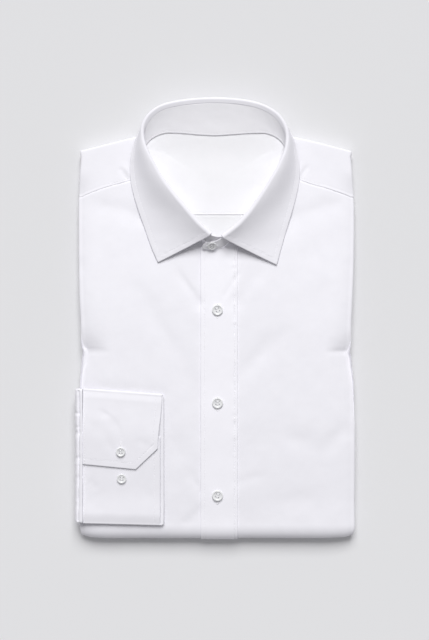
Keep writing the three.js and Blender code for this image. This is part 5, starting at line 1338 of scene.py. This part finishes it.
def cloth_material(name, low, high, rough=0.82, sheen=0.12, weave=0.05, thread=0.42, slub=0.35, mottle=14.0):
    """Fine plain-woven cotton: threads over and under, uneven yarn and a faint mottle."""
    mat, nt, bsdf = new_material(name)
    uv = node(nt, "ShaderNodeUVMap", uv_map="cloth")
    scale = node(nt, "ShaderNodeVectorMath", operation="SCALE")
    scale.inputs["Scale"].default_value = 1000.0          # back to millimetres
    nt.links.new(uv.outputs[0], scale.inputs[0])
    sep = node(nt, "ShaderNodeSeparateXYZ")
    nt.links.new(scale.outputs[0], sep.inputs[0])
    # uneven yarn across and along
    yarns = []
    for sx, sy, seed in ((2.4, 0.10, 0.0), (0.10, 2.4, 7.0)):
        mp = node(nt, "ShaderNodeMapping")
        mp.inputs["Scale"].default_value = (sx, sy, 1)
        mp.inputs["Location"].default_value = (seed, seed * 2, seed)
        nt.links.new(scale.outputs[0], mp.inputs[0])
        nz = node(nt, "ShaderNodeTexNoise")
        nz.inputs["Scale"].default_value = 1.0
        nz.inputs["Detail"].default_value = 1.0
        nt.links.new(mp.outputs[0], nz.inputs["Vector"])
        yarns.append(nz.outputs["Fac"])
    yarn = math_node(nt, "MULTIPLY", math_node(nt, "ADD", yarns[0], yarns[1]), 0.5)
    su = math_node(nt, "SINE", math_node(nt, "MULTIPLY", sep.outputs[0], 2 * math.pi / thread))
    sv = math_node(nt, "SINE", math_node(nt, "MULTIPLY", sep.outputs[1], 2 * math.pi / thread))
    check = math_node(nt, "MULTIPLY", su, sv)
    soft = node(nt, "ShaderNodeTexNoise")
    soft.inputs["Scale"].default_value = 1.0 / mottle
    soft.inputs["Detail"].default_value = 3.0
    nt.links.new(scale.outputs[0], soft.inputs["Vector"])
    tone = math_node(nt, "ADD", math_node(nt, "MULTIPLY", soft.outputs["Fac"], 0.65), math_node(nt, "MULTIPLY", yarn, 0.35))
    ramp = node(nt, "ShaderNodeValToRGB")
    ramp.color_ramp.elements[0].position, ramp.color_ramp.elements[0].color = 0.30, (*low, 1)
    ramp.color_ramp.elements[1].position, ramp.color_ramp.elements[1].color = 0.70, (*high, 1)
    nt.links.new(tone, ramp.inputs[0])
    nt.links.new(ramp.outputs[0], bsdf.inputs["Base Color"])
    rr = node(nt, "ShaderNodeMapRange")
    rr.inputs["To Min"].default_value, rr.inputs["To Max"].default_value = rough - 0.05, rough + 0.05
    nt.links.new(yarn, rr.inputs["Value"])
    nt.links.new(rr.outputs[0], bsdf.inputs["Roughness"])
    height = math_node(nt, "ADD", math_node(nt, "MULTIPLY", check, weave), math_node(nt, "MULTIPLY", yarn, slub))
    bump = node(nt, "ShaderNodeBump")
    bump.inputs["Strength"].default_value = 0.35
    bump.inputs["Distance"].default_value = 0.00012
    nt.links.new(height, bump.inputs["Height"])
    nt.links.new(bump.outputs[0], bsdf.inputs["Normal"])
    bsdf.inputs["Sheen Weight"].default_value = sheen
    bsdf.inputs["Sheen Roughness"].default_value = 0.45
    bsdf.inputs["Specular IOR Level"].default_value = 0.28
    return mat


def thread_material():
    mat, nt, bsdf = new_material("sewing_thread")
    tc = node(nt, "ShaderNodeTexCoord")
    nz = node(nt, "ShaderNodeTexNoise")
    nz.inputs["Scale"].default_value = 2600.0
    nt.links.new(tc.outputs["Object"], nz.inputs["Vector"])
    ramp = node(nt, "ShaderNodeValToRGB")
    ramp.color_ramp.elements[0].color = (0.86, 0.855, 0.885, 1)
    ramp.color_ramp.elements[1].color = (0.95, 0.945, 0.965, 1)
    nt.links.new(nz.outputs["Fac"], ramp.inputs[0])
    nt.links.new(ramp.outputs[0], bsdf.inputs["Base Color"])
    bump = node(nt, "ShaderNodeBump")
    bump.inputs["Strength"].default_value = 0.3
    bump.inputs["Distance"].default_value = 0.00005
    nt.links.new(nz.outputs["Fac"], bump.inputs["Height"])
    nt.links.new(bump.outputs[0], bsdf.inputs["Normal"])
    bsdf.inputs["Roughness"].default_value = 0.55
    bsdf.inputs["Sheen Weight"].default_value = 0.2
    return mat


def pearl_material():
    """Pearly resin: soft cloudy bands under a glossy face."""
    mat, nt, bsdf = new_material("pearl_resin")
    tc = node(nt, "ShaderNodeTexCoord")
    nz = node(nt, "ShaderNodeTexNoise")
    nz.inputs["Scale"].default_value = 260.0
    nz.inputs["Detail"].default_value = 4.0
    nz.inputs["Distortion"].default_value = 1.6
    nt.links.new(tc.outputs["Object"], nz.inputs["Vector"])
    ramp = node(nt, "ShaderNodeValToRGB")
    e = ramp.color_ramp.elements
    e[0].position, e[0].color = 0.25, (0.70, 0.705, 0.72, 1)
    e[1].position, e[1].color = 0.75, (0.86, 0.86, 0.87, 1)
    m = ramp.color_ramp.elements.new(0.5)
    m.color = (0.79, 0.795, 0.805, 1)
    nt.links.new(nz.outputs["Fac"], ramp.inputs[0])
    nt.links.new(ramp.outputs[0], bsdf.inputs["Base Color"])
    rr = node(nt, "ShaderNodeMapRange")
    rr.inputs["To Min"].default_value, rr.inputs["To Max"].default_value = 0.16, 0.30
    nt.links.new(nz.outputs["Fac"], rr.inputs["Value"])
    nt.links.new(rr.outputs[0], bsdf.inputs["Roughness"])
    bump = node(nt, "ShaderNodeBump")
    bump.inputs["Strength"].default_value = 0.08
    bump.inputs["Distance"].default_value = 0.0001
    nt.links.new(nz.outputs["Fac"], bump.inputs["Height"])
    nt.links.new(bump.outputs[0], bsdf.inputs["Normal"])
    bsdf.inputs["Coat Weight"].default_value = 0.35
    bsdf.inputs["Coat Roughness"].default_value = 0.12
    return mat


body_cloth = cloth_material("shirt_cloth", (0.848, 0.839, 0.888), (0.874, 0.865, 0.914))
placket_cloth = cloth_material("placket_cloth", (0.888, 0.878, 0.928), (0.912, 0.902, 0.952))
# painted shade: the collar's copy of the shirt cotton is darker than the body's, to tone down the light on the leaf and
# its folded rim
collar_cloth = cloth_material("collar_cloth", (0.800, 0.791, 0.838), (0.824, 0.815, 0.862), rough=0.78, weave=0.04)
cuff_cloth = cloth_material("cuff_cloth", (0.823, 0.814, 0.862), (0.851, 0.842, 0.890), rough=0.78, weave=0.04)
# painted shade: the inner yoke lining's copy of the cotton is a little darker than the body's, to tone down the direct
# and reflected light on it inside the neck
lining_shaded_cloth = cloth_material("inner_yoke_cloth", (0.842, 0.838, 0.864), (0.862, 0.858, 0.884))
stand_cloth = cloth_material("stand_cloth", (0.866, 0.858, 0.893), (0.893, 0.885, 0.920))
# painted shade: the back panel's copy of the cotton is much darker than the body's, standing in for less light on it
# inside the neck
back_panel_shaded_cloth = cloth_material("back_panel_shaded_cloth", (0.760, 0.760, 0.775), (0.780, 0.780, 0.795))
layer_cloth = cloth_material("layered_cloth", (0.80, 0.79, 0.83), (0.85, 0.84, 0.88))
thread_mat = thread_material()
pearl = pearl_material()

floor_mesh = bpy.data.meshes.new("floor")
fs = 6.0
floor_mesh.from_pydata([(-fs, -fs, 0), (fs, -fs, 0), (fs, fs, 0), (-fs, fs, 0)], [], [(0, 1, 2, 3)])
floor = bpy.data.objects.new("floor", floor_mesh)
scene.collection.objects.link(floor)
floor.location = (0, 0, -0.00005)
fmat, fnt, fb = new_material("floor_paper")
ftc = node(fnt, "ShaderNodeTexCoord")
fnz = node(fnt, "ShaderNodeTexNoise")
fnz.inputs["Scale"].default_value = 900.0
fnt.links.new(ftc.outputs["Object"], fnz.inputs["Vector"])
fr = node(fnt, "ShaderNodeValToRGB")
fr.color_ramp.elements[0].color = (0.706, 0.706, 0.719, 1)
fr.color_ramp.elements[1].color = (0.784, 0.784, 0.798, 1)
# painted shade: the floor's colour is darker towards +Y, on the key light's side, and lighter towards -Y, evening out
# the key light's falloff over the floor; the noise on top is the paper's own mottle
fsep = node(fnt, "ShaderNodeSeparateXYZ")
fnt.links.new(ftc.outputs["Object"], fsep.inputs[0])
floor_shade_by_y = node(fnt, "ShaderNodeMapRange")
floor_shade_by_y.inputs["From Min"].default_value, floor_shade_by_y.inputs["From Max"].default_value = 0.32, -0.32
floor_shade_by_y.inputs["To Min"].default_value, floor_shade_by_y.inputs["To Max"].default_value = 0.0, 0.9
fnt.links.new(fsep.outputs[1], floor_shade_by_y.inputs["Value"])
floor_painted_shade = math_node(fnt, "ADD", floor_shade_by_y.outputs[0], math_node(fnt, "MULTIPLY", fnz.outputs["Fac"], 0.1))
fnt.links.new(floor_painted_shade, fr.inputs[0])
fnt.links.new(fr.outputs[0], fb.inputs["Base Color"])
fb.inputs["Roughness"].default_value = 0.95
fb.inputs["Specular IOR Level"].default_value = 0.1
floor.data.materials.append(fmat)

# ---------------------------------------------------------------- pieces and nodes
def dress(ob, mat, nodes=()):
    ob.data.materials.clear()
    ob.data.materials.append(mat)
    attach(ob, "root")
    if nodes:
        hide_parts(*nodes)


dress(front_right, body_cloth, ("front_right",))
dress(front_left, body_cloth, ("front_left",))
dress(placket, placket_cloth, ("placket",))
dress(yoke, body_cloth, ("yoke",))
dress(yoke_lining, lining_shaded_cloth, ("yoke_lining",))
dress(back_panel, back_panel_shaded_cloth, ("back_panel",))
dress(collar_leaf, collar_cloth, ("collar_leaf",))
dress(collar_stand, stand_cloth, ("collar_stand",))
dress(cuff, cuff_cloth, ("cuff_right",))
dress(sleeve, body_cloth, ("sleeve_right",))
dress(layers, layer_cloth, ("folded_layers",))
dress(stitches, thread_mat)
dress(hole_threads, thread_mat)
for node_name, ob in buttons.items():
    dress(ob, pearl, (node_name,))
    dress(threads[node_name], thread_mat)
